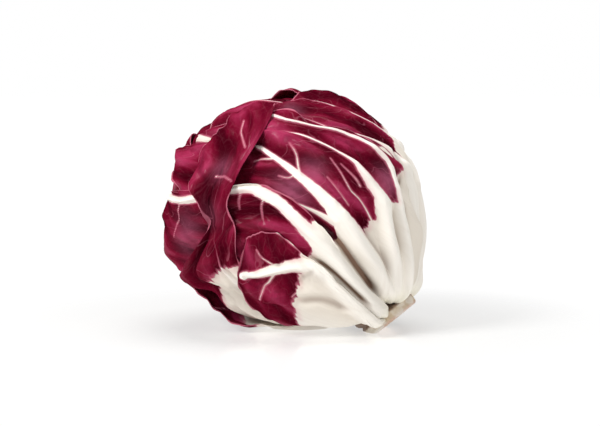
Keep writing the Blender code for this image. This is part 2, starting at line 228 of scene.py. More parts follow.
add_leaf("inner_leaf_back", inner_leaf(290.0, 182.0))
add_leaf("inner_leaf_top", inner_leaf(20.0, 190.0))
add_leaf("inner_leaf_front", inner_leaf(115.0, 176.0))
add_leaf("inner_leaf_low", inner_leaf(205.0, 168.0))
add_leaf("leaf_back", arched_leaf(312.0, 156.0, lobes=((140, 8, 6.0, 1.8),)))
add_leaf("leaf_back_low", arched_leaf(258.0, 164.0))


# %% The leaf along the right side and over the top
def right_leaf():
    rib = (
        (10, -10), (30, -8), (57, -8), (75, -7), (86, -3), (93, 5), (100, 11), (114, 14), (123, 18),
        (131, 25),
        (138, 34),
    )
    second = (
        (10, -2), (30, 5), (46, 8), (62, 9), (70, 11), (77, 14), (84, 18), (90, 23), (96, 30), (103, 37),
        (114, 42), (138, 58),
    )
    low = ((10, -38), (20, -55), (45, -56), (75, -50), (100, -34), (122, -14), (138, 4))
    high = ((10, 18), (20, 35), (45, 48), (75, 58), (100, 66), (122, 72), (138, 78))
    swelling = ((9, -14), (18, -14), (26, -12))
    side_rib = ((14, -26), (40, -32), (66, -28), (84, -24))
    return leaf(
        (low, rib, second, high),
        ((rib, 13.0, 2.0, 3.6, 0.8), (second, 9.0, 2.0, 3.2, 0.8)),
        138,
        columns=(8, 5, 5),
        flesh=0.8,
        swellings=((swelling, 17.0, 15.0, 9.0, 4.0), (side_rib, 9.0, 3.0, 2.2, 0.4)),
        white=(
            ((50, 13.0), (66, 9.0), (78, 6.5), (85, 4.6), (91, 1.6), (97, 1.0), (109, 0.6), (138, 0.3)),
            ((50, 9.0), (62, 7.0), (76, 4.9), (83, 3.6), (89, 1.3), (101, 0.6), (138, 0.3)),
        ),
        red_from=(
            (-60, 56), (-46, 62), (-36, 76), (-26, 86), (-16, 92), (-4, 93), (1, 90), (4, 85),
            (8, 80), (10, 76),
            (12, 68), (15, 67),
            (18, 80), (24, 84), (34, 76), (60, 68),
        ),
        grooves=(
            (((66, 17), (73, 14), (79, 14), (86, 7), (92, 8)), 0.9, 1.4),
            (((60, 24), (66, 20), (72, 20.5), (78, 22), (90, 28), (98, 33)), 1.0, 1.8),
        ),
        blooms=((128, 44, 5.0, 0.5),),
        lobes=((121, 4, 6.0, 1.8), (110, 0, 3.5, 1.0), (129, 6, 5.0, -1.2)),
        lift=(0.6, 1.0),
        swollen_base=1.5,
        twigs=(
            (((96, 1), (104, -6), (113, -12)), 0.7, 0.3),
            (((84, -6), (92, -18), (99, -27)), 0.9, 0.3),
        ),
        folds=0.9,
        detail=(66, 60),
    )


add_leaf("leaf_right", right_leaf())

# %% The broad leaf that faces the viewer
def front_leaf():
    low = (
        (10, 42), (20, 16), (36, 0), (46, 12), (58, 21), (70, 22), (78, 24), (90, 30), (96, 33),
        (103, 39),
        (110, 48), (127, 56), (156, 112),
    )
    third = (
        (10, 44), (20, 38), (35, 35), (46, 35), (54, 35), (60, 33), (67, 31), (78, 30), (83, 32),
        (90, 35), (96, 38),
        (102, 42), (111, 52), (120, 60), (129, 64), (156, 122),
    )
    second = (
        (10, 52), (31, 50), (45, 49), (52, 47), (60, 45), (66, 46), (79, 48), (85, 48), (91, 50),
        (96, 52),
        (105, 57), (113, 63), (130, 82), (156, 134),
    )
    rib = (
        (10, 62), (34, 65), (46, 67), (55, 69), (64, 70), (72, 71), (80, 72), (87, 73), (97, 75),
        (111, 78),
        (119, 80), (140, 98), (156, 143),
    )
    high = ((10, 80), (20, 98), (40, 106), (70, 110), (100, 120), (120, 132), (140, 148), (156, 172))
    return leaf(
        (low, third, second, rib, high),
        ((rib, 12.0, 2.5, 5.2, 1.6), (second, 9.0, 1.6, 4.4, 0.5), (third, 7.0, 1.6, 3.4, 0.7)),
        156,
        columns=(2, 5, 5, 8),
        middle=3,
        flesh=1.2,
        white=(
            ((50, 10.0), (62, 8.0), (73, 6.8), (80, 5.8), (84, 5.2), (92, 4.4), (99, 3.4), (108, 2.4),
            (117, 1.8),
             (121, 1.2), (124, -2.0), (156, -2.0)),
            ((50, 8.0), (60, 7.0), (67, 5.4), (72, 4.6), (79, 3.6), (85, 2.2), (90, 1.3), (95, 0.9),
            (103, 0.8),
             (112, 0.6), (120, -2.0), (156, -2.0)),
            ((50, 5.5), (67, 3.2), (75, 3.1), (83, 3.0), (89, 2.2), (98, 1.5), (109, 1.4), (118, 0.8),
            (128, 0.5),
             (134, -2.0), (156, -2.0)),
        ),
        red_from=(
            (-10, 66), (14, 66), (24, 70), (29, 66), (32, 61), (36, 59), (40, 59), (43, 62), (45, 66),
            (47, 70),
            (49, 66), (51, 60), (53, 57), (57, 56), (61, 55), (65, 57), (68, 62), (70, 72), (73, 79),
            (75, 75),
            (76.5, 66), (78, 60), (80, 59), (86, 60), (170, 60),
        ),
        grooves=(
            (
                ((18, 74), (28, 75), (36, 76.5), (44, 77.5), (52, 78), (59, 78.5), (66, 79.5), (80, 82)),
                1.4, 3.2,
            ),
            (((32, 28), (40, 29), (46, 30), (54, 31), (60, 30), (64, 27), (72, 25)), 1.0, 2.4),
            (((26, 57), (38, 57), (45, 60), (53, 62), (60, 61)), 1.6, 1.3),
            (((34, 43), (45, 41), (52, 41), (60, 40)), 1.3, 1.3),
            (((84, 58), (94, 61), (104, 64), (114, 68)), 1.2, 0.9),
            (((78, 41), (90, 42), (102, 48), (112, 55)), 1.1, 0.8),
            (((84, 78), (94, 81), (104, 86), (112, 92)), 1.2, 0.9),
        ),
        blooms=((69, 37, 6.0, 1.0), (92, 83, 9.0, 0.8), (93, 68, 6.0, 0.6)),
        twigs=(
            (((95, 74), (99, 72), (104, 69), (110, 68)), 1.3, 0.2),
            (((110, 79), (113, 82), (116, 87)), 0.8, 0.4),
            (((97, 76), (98, 79), (102, 82)), 0.7, 0.3),
            (((56, 55), (69, 56), (76, 58), (85, 57), (93, 57)), 0.9, 0.3),
            (((68, 75), (75, 78), (81, 81), (87, 84)), 3.2, 0.3),
            (((74, 52), (81, 52.5), (88, 54)), 0.55, 0.2),
            (((70, 63), (79, 63.5), (87, 64)), 0.5, 0.2),
            (((141, 100), (146, 107), (152, 117), (156, 126)), 1.6, 3.6),
        ),
        lobes=((141, 78, 6.0, 1.2),),
        swollen_base=1.5,
        detail=(90, 84),
    )


add_leaf("leaf_front", front_leaf())

# %% The leaf below it, which turns to the left
def low_front_leaf():
    low = (
        (11, 64), (20, 72), (30, 79), (44, 81), (58, 81), (70, 81), (84, 83), (91, 85), (97, 88),
        (104, 92), (112, 104), (134, 148),
    )
    rib = (
        (11, 86), (44, 86), (55, 86), (65, 87), (75, 88), (84, 89), (92, 90), (99, 93), (106, 97),
        (110, 103),
        (116, 119), (121, 131), (128, 148), (134, 164),
    )
    high = (
        (11, 110), (20, 126), (40, 130), (60, 132), (80, 138), (93, 150),
        (105, 176), (118, 186), (134, 196),
    )
    return leaf(
        (low, rib, high),
        ((rib, 11.0, 2.2, 5.0, 1.6),),
        134,
        columns=(4, 11),
        round_tip=5.0,
        white=(
            ((50, 12.0), (60, 9.0), (70, 7.0), (78, 5.8), (84, 5.4), (92, 5.2), (99, 5.4), (104, 5.2),
            (108, 4.8),
             (112, 4.2), (121, 3.4), (127, 3.0), (132, 3.4), (134, 2.4)),
        ),
        red_from=((60, 72), (84, 74), (89, 74), (91, 67), (95, 62), (104, 64), (112, 62), (200, 58)),
        twigs=(
            (((107, 100), (105, 104), (101, 107)), 1.0, 0.1),
            (((97, 94), (95, 98), (90, 101)), 0.8, 0.1),
            (((118, 121), (124, 124), (130, 126)), 0.6, 0.3),
            (((124, 138), (118, 148), (112, 154)), 0.8, 0.3),
        ),
        grooves=(
            (((24, 88), (31, 89), (38, 90), (45, 91), (54, 93), (63, 96)), 1.2, 2.4),
            (((72, 97), (82, 101), (92, 108), (100, 112)), 1.1, 1.0),
            (((92, 134), (102, 138), (114, 146), (122, 150)), 1.4, 1.0),
        ),
        blooms=((108, 142, 9.0, 0.5),),
        lift=(1.0, 1.6),
        folds=0.9,
        swollen_base=1.5,
        detail=(66, 60),
    )


add_leaf("leaf_front_low", low_front_leaf())

# %% The leaf that climbs the left side and ends over the top
def crest_leaf():
    low = (
        (11, 112), (20, 104), (40, 110), (57, 122), (71, 126), (83, 124), (94, 113), (106, 107),
        (114, 93), (119, 80), (124, 67), (129, 58), (134, 57), (141, 60),
    )
    rib = (
        (11, 141), (39, 142), (57, 146), (71, 140), (82, 136), (96, 126), (110, 117), (122, 99),
        (134, 86), (141, 86),
    )
    high = (
        (11, 168), (20, 182), (40, 182), (60, 173), (75, 166), (90, 166), (95, 158), (98, 138),
        (102, 126),
        (109, 121), (121, 119), (133, 117), (141, 108),
    )
    return leaf(
        (low, rib, high),
        ((rib[:7], 9.0, 3.0, 2.0, 0.8),),
        141,
        flesh=0.8,
        columns=(7, 9),
        rows=19,
        round_tip=2.0,
        white=(((50, 9.0), (70, 4.0), (84, 0.4), (134, 0.2)),),
        red_from=(
            (90, 62), (122, 76), (128, 83), (134, 85), (146, 84), (157, 79), (164, 71), (172, 62),
            (180, 52), (190, 48),
        ),
        twigs=(
            (((119, 107), (116, 103), (112, 101)), 0.5, 0.4),
            (((133, 77), (130, 82), (126, 84), (121, 86)), 0.45, 0.4),
        ),
        lobes=((112, 115, 7.0, 1.2),),
        grooves=(
            (((94, 126), (103, 120), (111, 116), (119, 112), (130, 112), (139, 104)), 1.3, 1.3),
            (((104, 114), (112, 108), (118, 104), (124, 100)), 0.9, 0.9),
            (((112, 97), (122, 92), (130, 88), (138, 80)), 1.0, 0.8),
            (((72, 134), (84, 132), (96, 122)), 1.2, 0.9),
        ),
        blooms=((121, 103, 5.0, 0.5), (106, 118, 5.0, 0.25)),
        pressed_from=112.0,
        lift=(0.2, 0.8),
        folds=1.3,
        detail=(72, 56),
    )


add_leaf("leaf_crest", crest_leaf())

# %% The leaf that the head lies on
def under_leaf():
    low = (
        (12, 180), (30, 168), (45, 163), (60, 163), (72, 170), (85, 174), (96, 178), (103, 182),
        (115, 190),
        (142, 205),
    )
    rib = ((12, 200), (30, 192), (50, 191), (75, 200), (100, 210), (125, 217), (142, 220))
    high = ((12, 238), (30, 258), (60, 256), (100, 262), (125, 262), (142, 245))
    return leaf(
        (low, rib, high),
        ((rib, 28.0, 4.0, 8.5, 2.0),),
        142,
        white=(((50, 20.0), (66, 13.0), (80, 9.0), (100, 5.5), (125, 3.0), (142, 1.6)),),
        red_from=((150, 54), (168, 56), (180, 66), (195, 72), (210, 64), (260, 60)),
        twigs=forked_veins(rib, (58.0, 66.0, 82.0, 94.0, 108.0), 24.0, 24.0, 1.5),
        lift=(1.5, 1.3),
        folds=1.2,
        detail=(56, 48),
    )


add_leaf("leaf_under", under_leaf())

# %% The short outermost leaf with the branching rib
def short_leaf():
    low = ((12, 82), (20, 88), (33, 91), (45, 93), (60, 95), (67, 97), (74, 98), (88, 100))
    rib = ((12, 100), (29, 97), (45, 96), (54, 96), (60, 99), (65, 107), (68, 113), (73, 123),
        (77, 126), (88, 112))
    high = ((12, 136), (20, 146), (30, 154), (41, 157), (54, 152), (62, 145), (70, 138), (77, 130),
        (88, 112))
    swelling = ((12, 124), (26, 130), (40, 135))
    return leaf(
        (low, rib, high),
        ((rib[:9], 9.0, 4.0, 3.4, 2.0),),
        88,
        columns=(5, 11),
        rows=15,
        round_tip=7.0,
        swellings=((swelling, 16.0, 14.0, 2.4, 1.6),),
        white=(
            ((40, 10.0), (54, 8.5), (60, 7.8), (64, 6.8), (68, 5.6), (71, 4.4), (74, 3.2), (78, 2.4),
            (82, -1.0),
             (88, -2.0)),
        ),
        red_from=(
            (80, 60), (97, 66), (104, 60), (110, 56), (116, 53), (121, 51), (129, 46), (136, 42),
            (141, 38), (165, 34),
        ),
        twigs=(
            (((70, 112), (73, 113), (77, 114), (81, 113)), 0.9, 0.3),
            (((69, 97), (74, 98), (80, 99), (84, 101)), 0.7, 0.4),
            (((67, 116), (66, 121), (66, 125), (64, 131)), 1.3, 0.4),
            (((56, 105), (54, 109), (53, 114), (53, 120)), 1.6, 0.4),
        ),
        grooves=(
            (((30, 104), (34, 105), (38, 107), (44, 112), (47, 117), (51, 124)), 2.2, 1.4),
            (((57, 97), (57, 105), (55, 112)), 1.6, 0.8),
        ),
        folds=0.9,
        detail=(58, 58),
    )


add_leaf("leaf_short", short_leaf())
print(len(LEAVES), "leaves in all")

# %% [markdown]
# ## A fine grid over each leaf
#
# The plain leaves are made of large triangles. A finer leaf can follow the same lines with many more
# rows and columns. It reads how far out the plain leaf lies by casting rays from the middle of the head
# at the plain leaf's own grid points, and a smooth surface through those distances takes away the
# facets but keeps the form.

# %% Lay a grid over a leaf
def column_places(counts, even=False):
    """Places across a leaf: 0 on its low margin, then 1, 2 and so on; closer together beside a rib."""
    places = []
    for k, count in enumerate(counts):
        if even:
            shares = np.arange(count) / count
        elif k > 0 and k + 1 < len(counts):
            shares = (1.0 - np.cos(np.pi * np.arange(count) / count)) / 2.0
        elif k > 0:
            shares = (np.arange(count) / count) ** 1.5
        else:
            shares = 1.0 - (1.0 - np.arange(count) / count) ** 1.5
        places += list(k + shares)
    return np.array(places + [float(len(counts))])


print("places across a leaf of 2 + 2 columns:", column_places((2, 2)).round(2))


def across_of(leaf, places):
    middle, last = leaf["middle"], len(leaf["lines"]) - 1
    return np.where(places < middle, places / middle - 1.0, (places - middle) / (last - middle))


def angles_of(leaf, along, places, end_shift=0.0):
    """Polar and side angles of a grid, and the side angles of the leaf's two margins in each row."""
    across = across_of(leaf, places)
    end = leaf["tip"] - leaf["round_tip"] * np.abs(across) ** 3 + end_shift
    polar = LEAF_BASE + (end - LEAF_BASE)[None, :] * along[:, None]
    lines = np.array([on_path(line, polar) for line in leaf["lines"]])
    first = np.clip(places.astype(int), 0, len(lines) - 2)
    share = places - first
    column = np.arange(len(places))
    side = lines[first, :, column].T * (1.0 - share) + lines[first + 1, :, column].T * share
    return polar, side, lines[0], lines[-1]


# %% Read a plain leaf's level
EDGE_INSET = 0.003


def surface_of(points, polygons):
    return BVHTree.FromPolygons([Vector(point) for point in points], polygons)


def coordinates(mesh):
    """A mesh's points, in mm."""
    points = np.empty(len(mesh.vertices) * 3)
    mesh.vertices.foreach_get("co", points)
    return points.reshape(-1, 3) / METRES


def plain_surface(name):
    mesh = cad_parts[name].data
    polygons = [tuple(polygon.vertices) for polygon in mesh.polygons]
    return surface_of(coordinates(mesh) - HEAD_CENTRE, polygons)


def first_hits(surface, directions):
    """How far out a surface lies, from the middle of the head; nan where a ray misses it."""
    middle = Vector((0.0, 0.0, 0.0))
    hits = [surface.ray_cast(middle, Vector(direction))[3] for direction in directions.reshape(-1, 3)]
    return np.array([np.nan if hit is None else hit for hit in hits]).reshape(directions.shape[:-1])


def plain_level(name, leaf, along, places):
    """The inner face of the plain leaf, as a smooth surface read on the fine grid."""
    rows = np.linspace(EDGE_INSET, 1.0 - EDGE_INSET, leaf["rows"])
    columns = column_places(leaf["columns"])
    last = columns[-1]
    columns = EDGE_INSET * last + columns * (1.0 - 2.0 * EDGE_INSET)
    polar, side, _, _ = angles_of(leaf, rows, columns)
    level = first_hits(plain_surface(name), directions_of(leaf, polar, side))
    missed = np.isnan(level)
    for i, j in zip(*np.nonzero(missed)):
        level[i, j] = np.nanmean(level[max(i - 1, 0) : i + 2, max(j - 1, 0) : j + 2])
    across = through(columns, level.T, places).T
    return through(rows, across, along), int(missed.sum())


# %% [markdown]
# ## Ribs and veins
#
# A midrib is thick and rounded where the leaf grows from the stem and thins out towards the tip. Its
# branches leave it at a sharp angle. For both the shape and the colour, each point of a leaf needs to
# know how far it is from the nearest rib or branch, measured square to it, so every path is followed in
# short straight steps.

# %% Measure distances to ribs and branches
LONG_PATH = 8
LONG_STEPS = 50
SHORT_STEPS = 12


def path_points(leaf, path):
    """Points along a path, in even polar steps, or by its own points if it runs round the stem."""
    if path[-1][0] - path[0][0] > LONG_PATH:
        polar = np.linspace(path[0][0], path[-1][0], LONG_STEPS)
        side = on_path(path, polar)
    else:
        share = np.linspace(0.0, 1.0, len(path))
        steps = np.linspace(0.0, 1.0, SHORT_STEPS)
        polar = through(share, [place[0] for place in path], steps)
        side = through(share, [place[1] for place in path], steps)
    return directions_of(leaf, polar, side) * HEAD_RADIUS


def distance_to(path, points):
    """Distance in mm from each point to a path, and the share of the path, 0 to 1, passed there."""
    nearest = np.full(points.shape[:-1], 1e6)
    share = np.zeros(points.shape[:-1])
    for k, start in enumerate(path[:-1]):
        step = path[k + 1] - start
        t = np.clip((points - start) @ step / (step @ step), 0.0, 1.0)
        distance = np.linalg.norm(points - start - t[..., None] * step, axis=-1)
        closer = distance < nearest
        nearest = np.where(closer, distance, nearest)
        share = np.where(closer, (k + t) / (len(path) - 1), share)
    return nearest, share


midrib = path_points(LEAVES["leaf_front"], LEAVES["leaf_front"]["ribs"][0][0])
print(f"the front leaf's midrib is {np.linalg.norm(np.diff(midrib, axis=0), axis=1).sum():.0f} mm long")

# %% Raise the ribs
FADE = 12.0
BASE_ENDS = (48.0, 72.0)
RIDGE_POWER = 2.4


def rib_height(leaf, polar, side):
    """The plain model's ridges, with rounder tops, and past the base as narrow as their white."""
    height = np.zeros_like(polar)
    nearness = np.zeros_like(polar)
    reach = reach_of(leaf, polar)
    whites = leaf["white"] + (None,) * len(leaf["swellings"])
    for (path, wide, narrow, tall, low), white in zip(leaf["ribs"] + leaf["swellings"], whites):
        start, end = path[0][0], path[-1][0]
        share = np.clip((polar - start) / (end - start), 0.0, 1.0)
        away = np.abs(np.radians(side - on_path(path, polar)) * reach)
        half = (wide + (narrow - wide) * share) / 2.0
        top = tall + (low - tall) * share
        if white:
            width = np.maximum(on_path(white, polar), 0.0)
            past_base = smooth_step(*BASE_ENDS, polar)
            half = half + (0.6 * width + 0.7 - half) * past_base
            top = top + (np.minimum(top, 0.4 * width + 0.35) - top) * past_base
        profile = np.exp(-((away / half) ** RIDGE_POWER))
        nearness = np.maximum(nearness, profile)
        ridge = top * profile
        beyond = smooth_step(end + FADE, end, polar) * smooth_step(start - FADE, start, polar)
        clasping = 0.4 + 0.6 * smooth_step(10.0, 24.0, polar)
        height = np.maximum(height, ridge * beyond * clasping)
    return height, nearness


# %% Mark the white parts of a leaf
TWIG_RELIEF = 0.5
SOFT_EDGE = 0.14
WIDE_RIB = 6.0
STEADY = 0.2
GROOVE_SHADE_DEPTH = 2.2


def rib_marks(leaf, directions):
    """How far each point is outside the white of a rib or branch, how far from a rib, how much a branch
    raises it, and how ragged the edge of that white is."""
    points = directions * HEAD_RADIUS
    ragged = np.ones(directions.shape[:-1])
    outside = np.full(directions.shape[:-1], 30.0)
    to_rib = np.full(directions.shape[:-1], 60.0)
    raised = np.zeros(directions.shape[:-1])
    for (path, _, _, _, _), white in zip(leaf["ribs"], leaf["white"]):
        distance, share = distance_to(path_points(leaf, path), points)
        nearest_polar = path[0][0] + (path[-1][0] - path[0][0]) * share
        width = on_path(white, nearest_polar)
        beyond = distance + SOFT_EDGE - width / 2.0
        ragged = np.where(beyond < outside, np.clip(width / WIDE_RIB, STEADY, 1.0), ragged)
        outside = np.minimum(outside, beyond)
        to_rib = np.minimum(to_rib, distance)
    for path, wide, narrow in leaf["twigs"]:
        distance, share = distance_to(path_points(leaf, path), points)
        half = (wide + (narrow - wide) * share) / 2.0
        beyond = distance + 1.5 * SOFT_EDGE - half
        ragged = np.where(beyond < outside, STEADY, ragged)
        outside = np.minimum(outside, beyond)
        raised = np.maximum(raised, TWIG_RELIEF * half * np.exp(-((distance / half) ** 2)))
    return outside, to_rib, raised, ragged


def groove_marks(leaf, directions):
    """How deep the narrow grooves are at each point, in mm, and their painted shade, from 0 to 1."""
    depth = np.zeros(directions.shape[:-1])
    for path, half, deepest in leaf["grooves"]:
        distance, share = distance_to(path_points(leaf, path), directions * HEAD_RADIUS)
        ends = smooth_step(0.0, 0.2, share) * smooth_step(1.0, 0.8, share)
        depth = np.maximum(depth, deepest * ends * np.exp(-((distance / half) ** 2)))
    return depth, np.clip(depth / GROOVE_SHADE_DEPTH, 0.0, 1.0) ** 1.5


def painted_sheen_marks(leaf, directions):
    """How much pale lilac painted sheen lightens the red of the blade at each point."""
    pale = np.zeros(directions.shape[:-1])
    for polar, azimuth, radius, strength in leaf["blooms"]:
        pale = np.maximum(pale, strength * hump(directions, polar, azimuth, radius))
    return pale


# %% [markdown]
# ## From a grid to a leaf with two faces
#
# A leaf has an inner face, an outer face and a rim between them. The inner face is seldom seen, so it
# takes only every third row and column of the outer one. Towards the margin the blade gets thinner, as
# a real one does. The margin itself is never straight: small uneven waves move it in and out and lift
# it off the leaf below.

# %% Make a leaf's faces
def grid_quads(rows, columns):
    corner = (np.arange(rows - 1)[:, None] * columns + np.arange(columns - 1)[None, :]).reshape(-1)
    return np.stack([corner, corner + columns, corner + columns + 1, corner + 1], axis=1)


COARSER = 3


def around_grid(rows, columns):
    """The numbers of a grid's outermost points, in order round it."""
    numbers = np.arange(rows * columns).reshape(rows, columns)
    return np.concatenate([numbers[:-1, 0], numbers[-1, :-1], numbers[:0:-1, -1], numbers[0, :0:-1]])


def leaf_polygons(rows, columns):
    """The outer grid, the coarser inner grid turned over, and the rim that joins them."""
    outer = grid_quads(rows, columns)
    inner_rows, inner_columns = (rows - 1) // COARSER + 1, (columns - 1) // COARSER + 1
    inner = grid_quads(inner_rows, inner_columns)[:, ::-1] + rows * columns
    fine = around_grid(rows, columns).tolist()
    coarse = (around_grid(inner_rows, inner_columns) + rows * columns).tolist()
    rim = []
    for k, corner in enumerate(coarse):
        chain = [fine[(k * COARSER + step) % len(fine)] for step in range(COARSER + 1)]
        rim.append(chain[::-1] + [corner, coarse[(k + 1) % len(coarse)]])
    return outer.tolist() + inner.tolist() + rim


def uneven(at, seed, shortest, count=5):
    """A smooth uneven line between -1 and 1 along `at`: a few waves that don't repeat together."""
    chance = np.random.default_rng(seed)
    total = np.zeros_like(at)
    for k in range(count):
        length = shortest * 1.7**k
        total = total + np.sin(2 * np.pi * (at / length + chance.random())) * 1.25**k
    return total / sum(1.25**k for k in range(count))


# %% Rest a leaf on those inside it
CLEARANCE = 0.14
OUTSIDE = 150.0
LIFT_ROUNDS = 4


def outermost(surface, directions):
    """How far out the finished leaves reach in each direction, and 0 where there are none."""
    found = np.zeros(directions.shape[:-1])
    flat = found.reshape(-1)
    for k, direction in enumerate(directions.reshape(-1, 3)):
        distance = surface.ray_cast(Vector(direction * OUTSIDE), Vector(-direction))[3]
        if distance is not None:
            flat[k] = OUTSIDE - distance
    return found


def neighbours_mean(values):
    padded = np.pad(values, 1, mode="edge")
    return (padded[:-2, 1:-1] + padded[2:, 1:-1] + padded[1:-1, :-2] + padded[1:-1, 2:]) / 4.0


def resting(level, directions, finished):
    """Raises a leaf's inner face where a rib or fold of a finished leaf would come through it."""
    missing = np.maximum(outermost(finished, directions) + CLEARANCE - level, 0.0)
    lift = missing
    for _ in range(LIFT_ROUNDS):
        lift = np.maximum(missing, neighbours_mean(lift))
    return level + lift


def floor_radius(directions):
    """How far out the floor lies in each direction."""
    return HEAD_CENTRE[2] / np.maximum(-directions[..., 2], 1e-3)


# %% Lay out a leaf's fine grid
TOOTH = 0.9
TIP_WANDER = 0.8


def leaf_grid(leaf, seed):
    """A fine grid over a leaf, with small uneven teeth along both margins."""
    rows, columns = leaf["detail"]
    share = columns / sum(leaf["columns"])
    counts = [COARSER * max(1, round(count * share)) for count in leaf["columns"]]
    places = column_places(counts, even=True)
    along = np.linspace(0.0, 1.0, rows * COARSER + 1)
    across = across_of(leaf, places)
    end_shift = TIP_WANDER * uneven(across * 40.0, seed, 7.0)
    polar, side, low, high = angles_of(leaf, along, places, end_shift)
    reach = reach_of(leaf, polar)
    run = (polar - LEAF_BASE) * MM_PER_DEGREE
    sides = np.sign(across)[None, :]
    near_margin = smooth_step(0.72, 1.0, np.abs(across))[None, :] * smooth_step(18.0, 60.0, polar)
    wander = uneven(run + 300.0 * sides, seed + 1, 6.0)
    side = side + sides * near_margin * np.degrees(TOOTH * wander / np.maximum(reach, 15.0))
    return SimpleNamespace(
        places=places, along=along, across=across, sides=sides, near_margin=near_margin, run=run,
        polar=polar, side=side, low=low, high=high, reach=reach,
        directions=directions_of(leaf, polar, side), from_low=np.radians(side - low) * reach,
    )


def to_margin(grid):
    """How far each point is from the nearest margin or the tip, in mm."""
    width = np.radians(grid.high - grid.low) * grid.reach
    to_tip = (grid.polar[-1] - grid.polar) * MM_PER_DEGREE
    return np.maximum(np.minimum(np.minimum(grid.from_low, width - grid.from_low), to_tip), 0.0)


# %% Find the two faces of a leaf
BLADE = 0.95
THIN = 0.4
LEAST = 0.3
MARGIN_SHARE = 0.32
FLESH_ANGLE = 48.0
WAVE_HEIGHT = 1.6


def inner_face(name, leaf, grid, finished, seed):
    """How far out a leaf's inner face lies, its margins lifted in waves, and how many rays missed."""
    level, missed = plain_level(name, leaf, grid.along, grid.places)
    near_tip = smooth_step(0.85, 1.0, grid.along)[:, None]
    wave = np.maximum(uneven(grid.run + 90.0 * grid.sides, seed + 2, 9.0, 4), -0.2) + 0.2
    lift = WAVE_HEIGHT * np.where(grid.across < 0.0, *leaf["lift"])[None, :]
    level = level + lift * wave * np.maximum(grid.near_margin**2, near_tip)
    for polar, azimuth, radius, height in leaf["lobes"]:
        level = level + height * hump(grid.directions, polar, azimuth, radius)
    return resting(level, grid.directions, finished), missed


def outer_face(leaf, grid, level, margin, raised, groove):
    """How far out the outer face lies, and how near each point is to the top of a rib, from 0 to 1."""
    ridges, on_rib = rib_height(leaf, grid.polar, grid.side)
    flesh = leaf["flesh"] * np.exp(-((grid.polar / FLESH_ANGLE) ** 4)) * (1.0 - grid.across**4)
    flesh = flesh * (0.1 + 0.9 * on_rib)
    blade = BLADE * (MARGIN_SHARE + (1.0 - MARGIN_SHARE) * smooth_step(0.0, 3.5, margin))
    base = leaf["swollen_base"] * smooth_step(26.0, 14.0, grid.polar)
    outer = level + blade + flesh + ridges + raised + base
    outer = np.maximum(outer - groove, np.minimum(outer, level + THIN))
    return np.minimum(outer, floor_radius(grid.directions)), on_rib


# %% Shape one leaf
def finish_marks(leaf, grid, outer, margin, on_rib, white):
    """The marks that depend on where the outer face lies and how the blade is pressed."""
    red_from = 60.0 + 0.0 * grid.side
    if leaf["heading"] is None:
        red_from = through(*zip(*leaf["red_from"]), grid.side)
    above_floor = HEAD_CENTRE[2] + outer * grid.directions[..., 2]
    relief = smooth_step(-1.0, 4.0, white) * smooth_step(36.0, 60.0, grid.polar)
    relief = relief * smooth_step(1.0, 5.0, above_floor)
    pressed = smooth_step(leaf["pressed_from"] - 6.0, leaf["pressed_from"] + 6.0, grid.polar)
    pressed = pressed * smooth_step(14.0, 4.0, grid.from_low)
    return {
        "base_gap": (grid.polar - red_from) * MM_PER_DEGREE,
        "margin": margin + 6.0 * smooth_step(50.0, 30.0, grid.polar) + 6.0 * pressed,
        # how far from a rib's top: the painted shade between the ribs follows it
        "valley": 1.0 - on_rib,
        "relief": relief * leaf["folds"] * (1.0 - pressed),
        "stem_angle": grid.polar,
    }


def leaf_shape(name, leaf, finished, seed):
    """Points of both faces of a leaf, and what its finish needs to know at each of them."""
    grid = leaf_grid(leaf, seed)
    level, missed = inner_face(name, leaf, grid, finished, seed)
    white, to_rib, raised, ragged = rib_marks(leaf, grid.directions)
    groove, dark = groove_marks(leaf, grid.directions)
    margin = to_margin(grid)
    outer, on_rib = outer_face(leaf, grid, level, margin, raised, groove)
    level = np.minimum(level, outer - LEAST)
    marks = finish_marks(leaf, grid, outer, margin, on_rib, white)
    marks.update(white_gap=white, ragged=ragged, groove=dark, to_rib=to_rib)
    marks["bloom"] = painted_sheen_marks(leaf, grid.directions)
    sideways = np.radians(grid.side - (grid.low + grid.high) / 2.0) * grid.reach
    place = np.stack([grid.run, sideways, np.full_like(grid.run, 40.0 * seed)], axis=-1)
    print(f"{name}: {len(grid.along)} x {len(grid.places)} grid, {missed} rays missed")
    return grid.directions, level, outer, marks, place


# %% [markdown]
# ## Small helpers for node trees
#
# Geometry and materials are both made with node trees. A Wire stands for one output socket, and
# Python's own operators on it add Math nodes, so that a formula can be written as a formula. Every
# other node comes from `add`.

# %% Build trees from expressions
class Wire:
    def __init__(self, tree, socket):
        self.tree, self.socket = tree, socket

    def math(self, operation, *values):
        return self.tree.add("ShaderNodeMath", {"operation": operation}, dict(enumerate(values)))

    def __add__(self, other):
        return self.math("ADD", self, other)

    def __radd__(self, other):
        return self.math("ADD", other, self)

    def __sub__(self, other):
        return self.math("SUBTRACT", self, other)

    def __rsub__(self, other):
        return self.math("SUBTRACT", other, self)

    def __mul__(self, other):
        return self.math("MULTIPLY", self, other)

    def __rmul__(self, other):
        return self.math("MULTIPLY", other, self)

    def __truediv__(self, other):
        return self.math("DIVIDE", self, other)

    def __rtruediv__(self, other):
        return self.math("DIVIDE", other, self)

    def __abs__(self):
        return self.math("ABSOLUTE", self)

    def __mod__(self, other):
        return self.math("FLOORED_MODULO", self, other)

    def least(self, other):
        return self.math("MINIMUM", self, other)


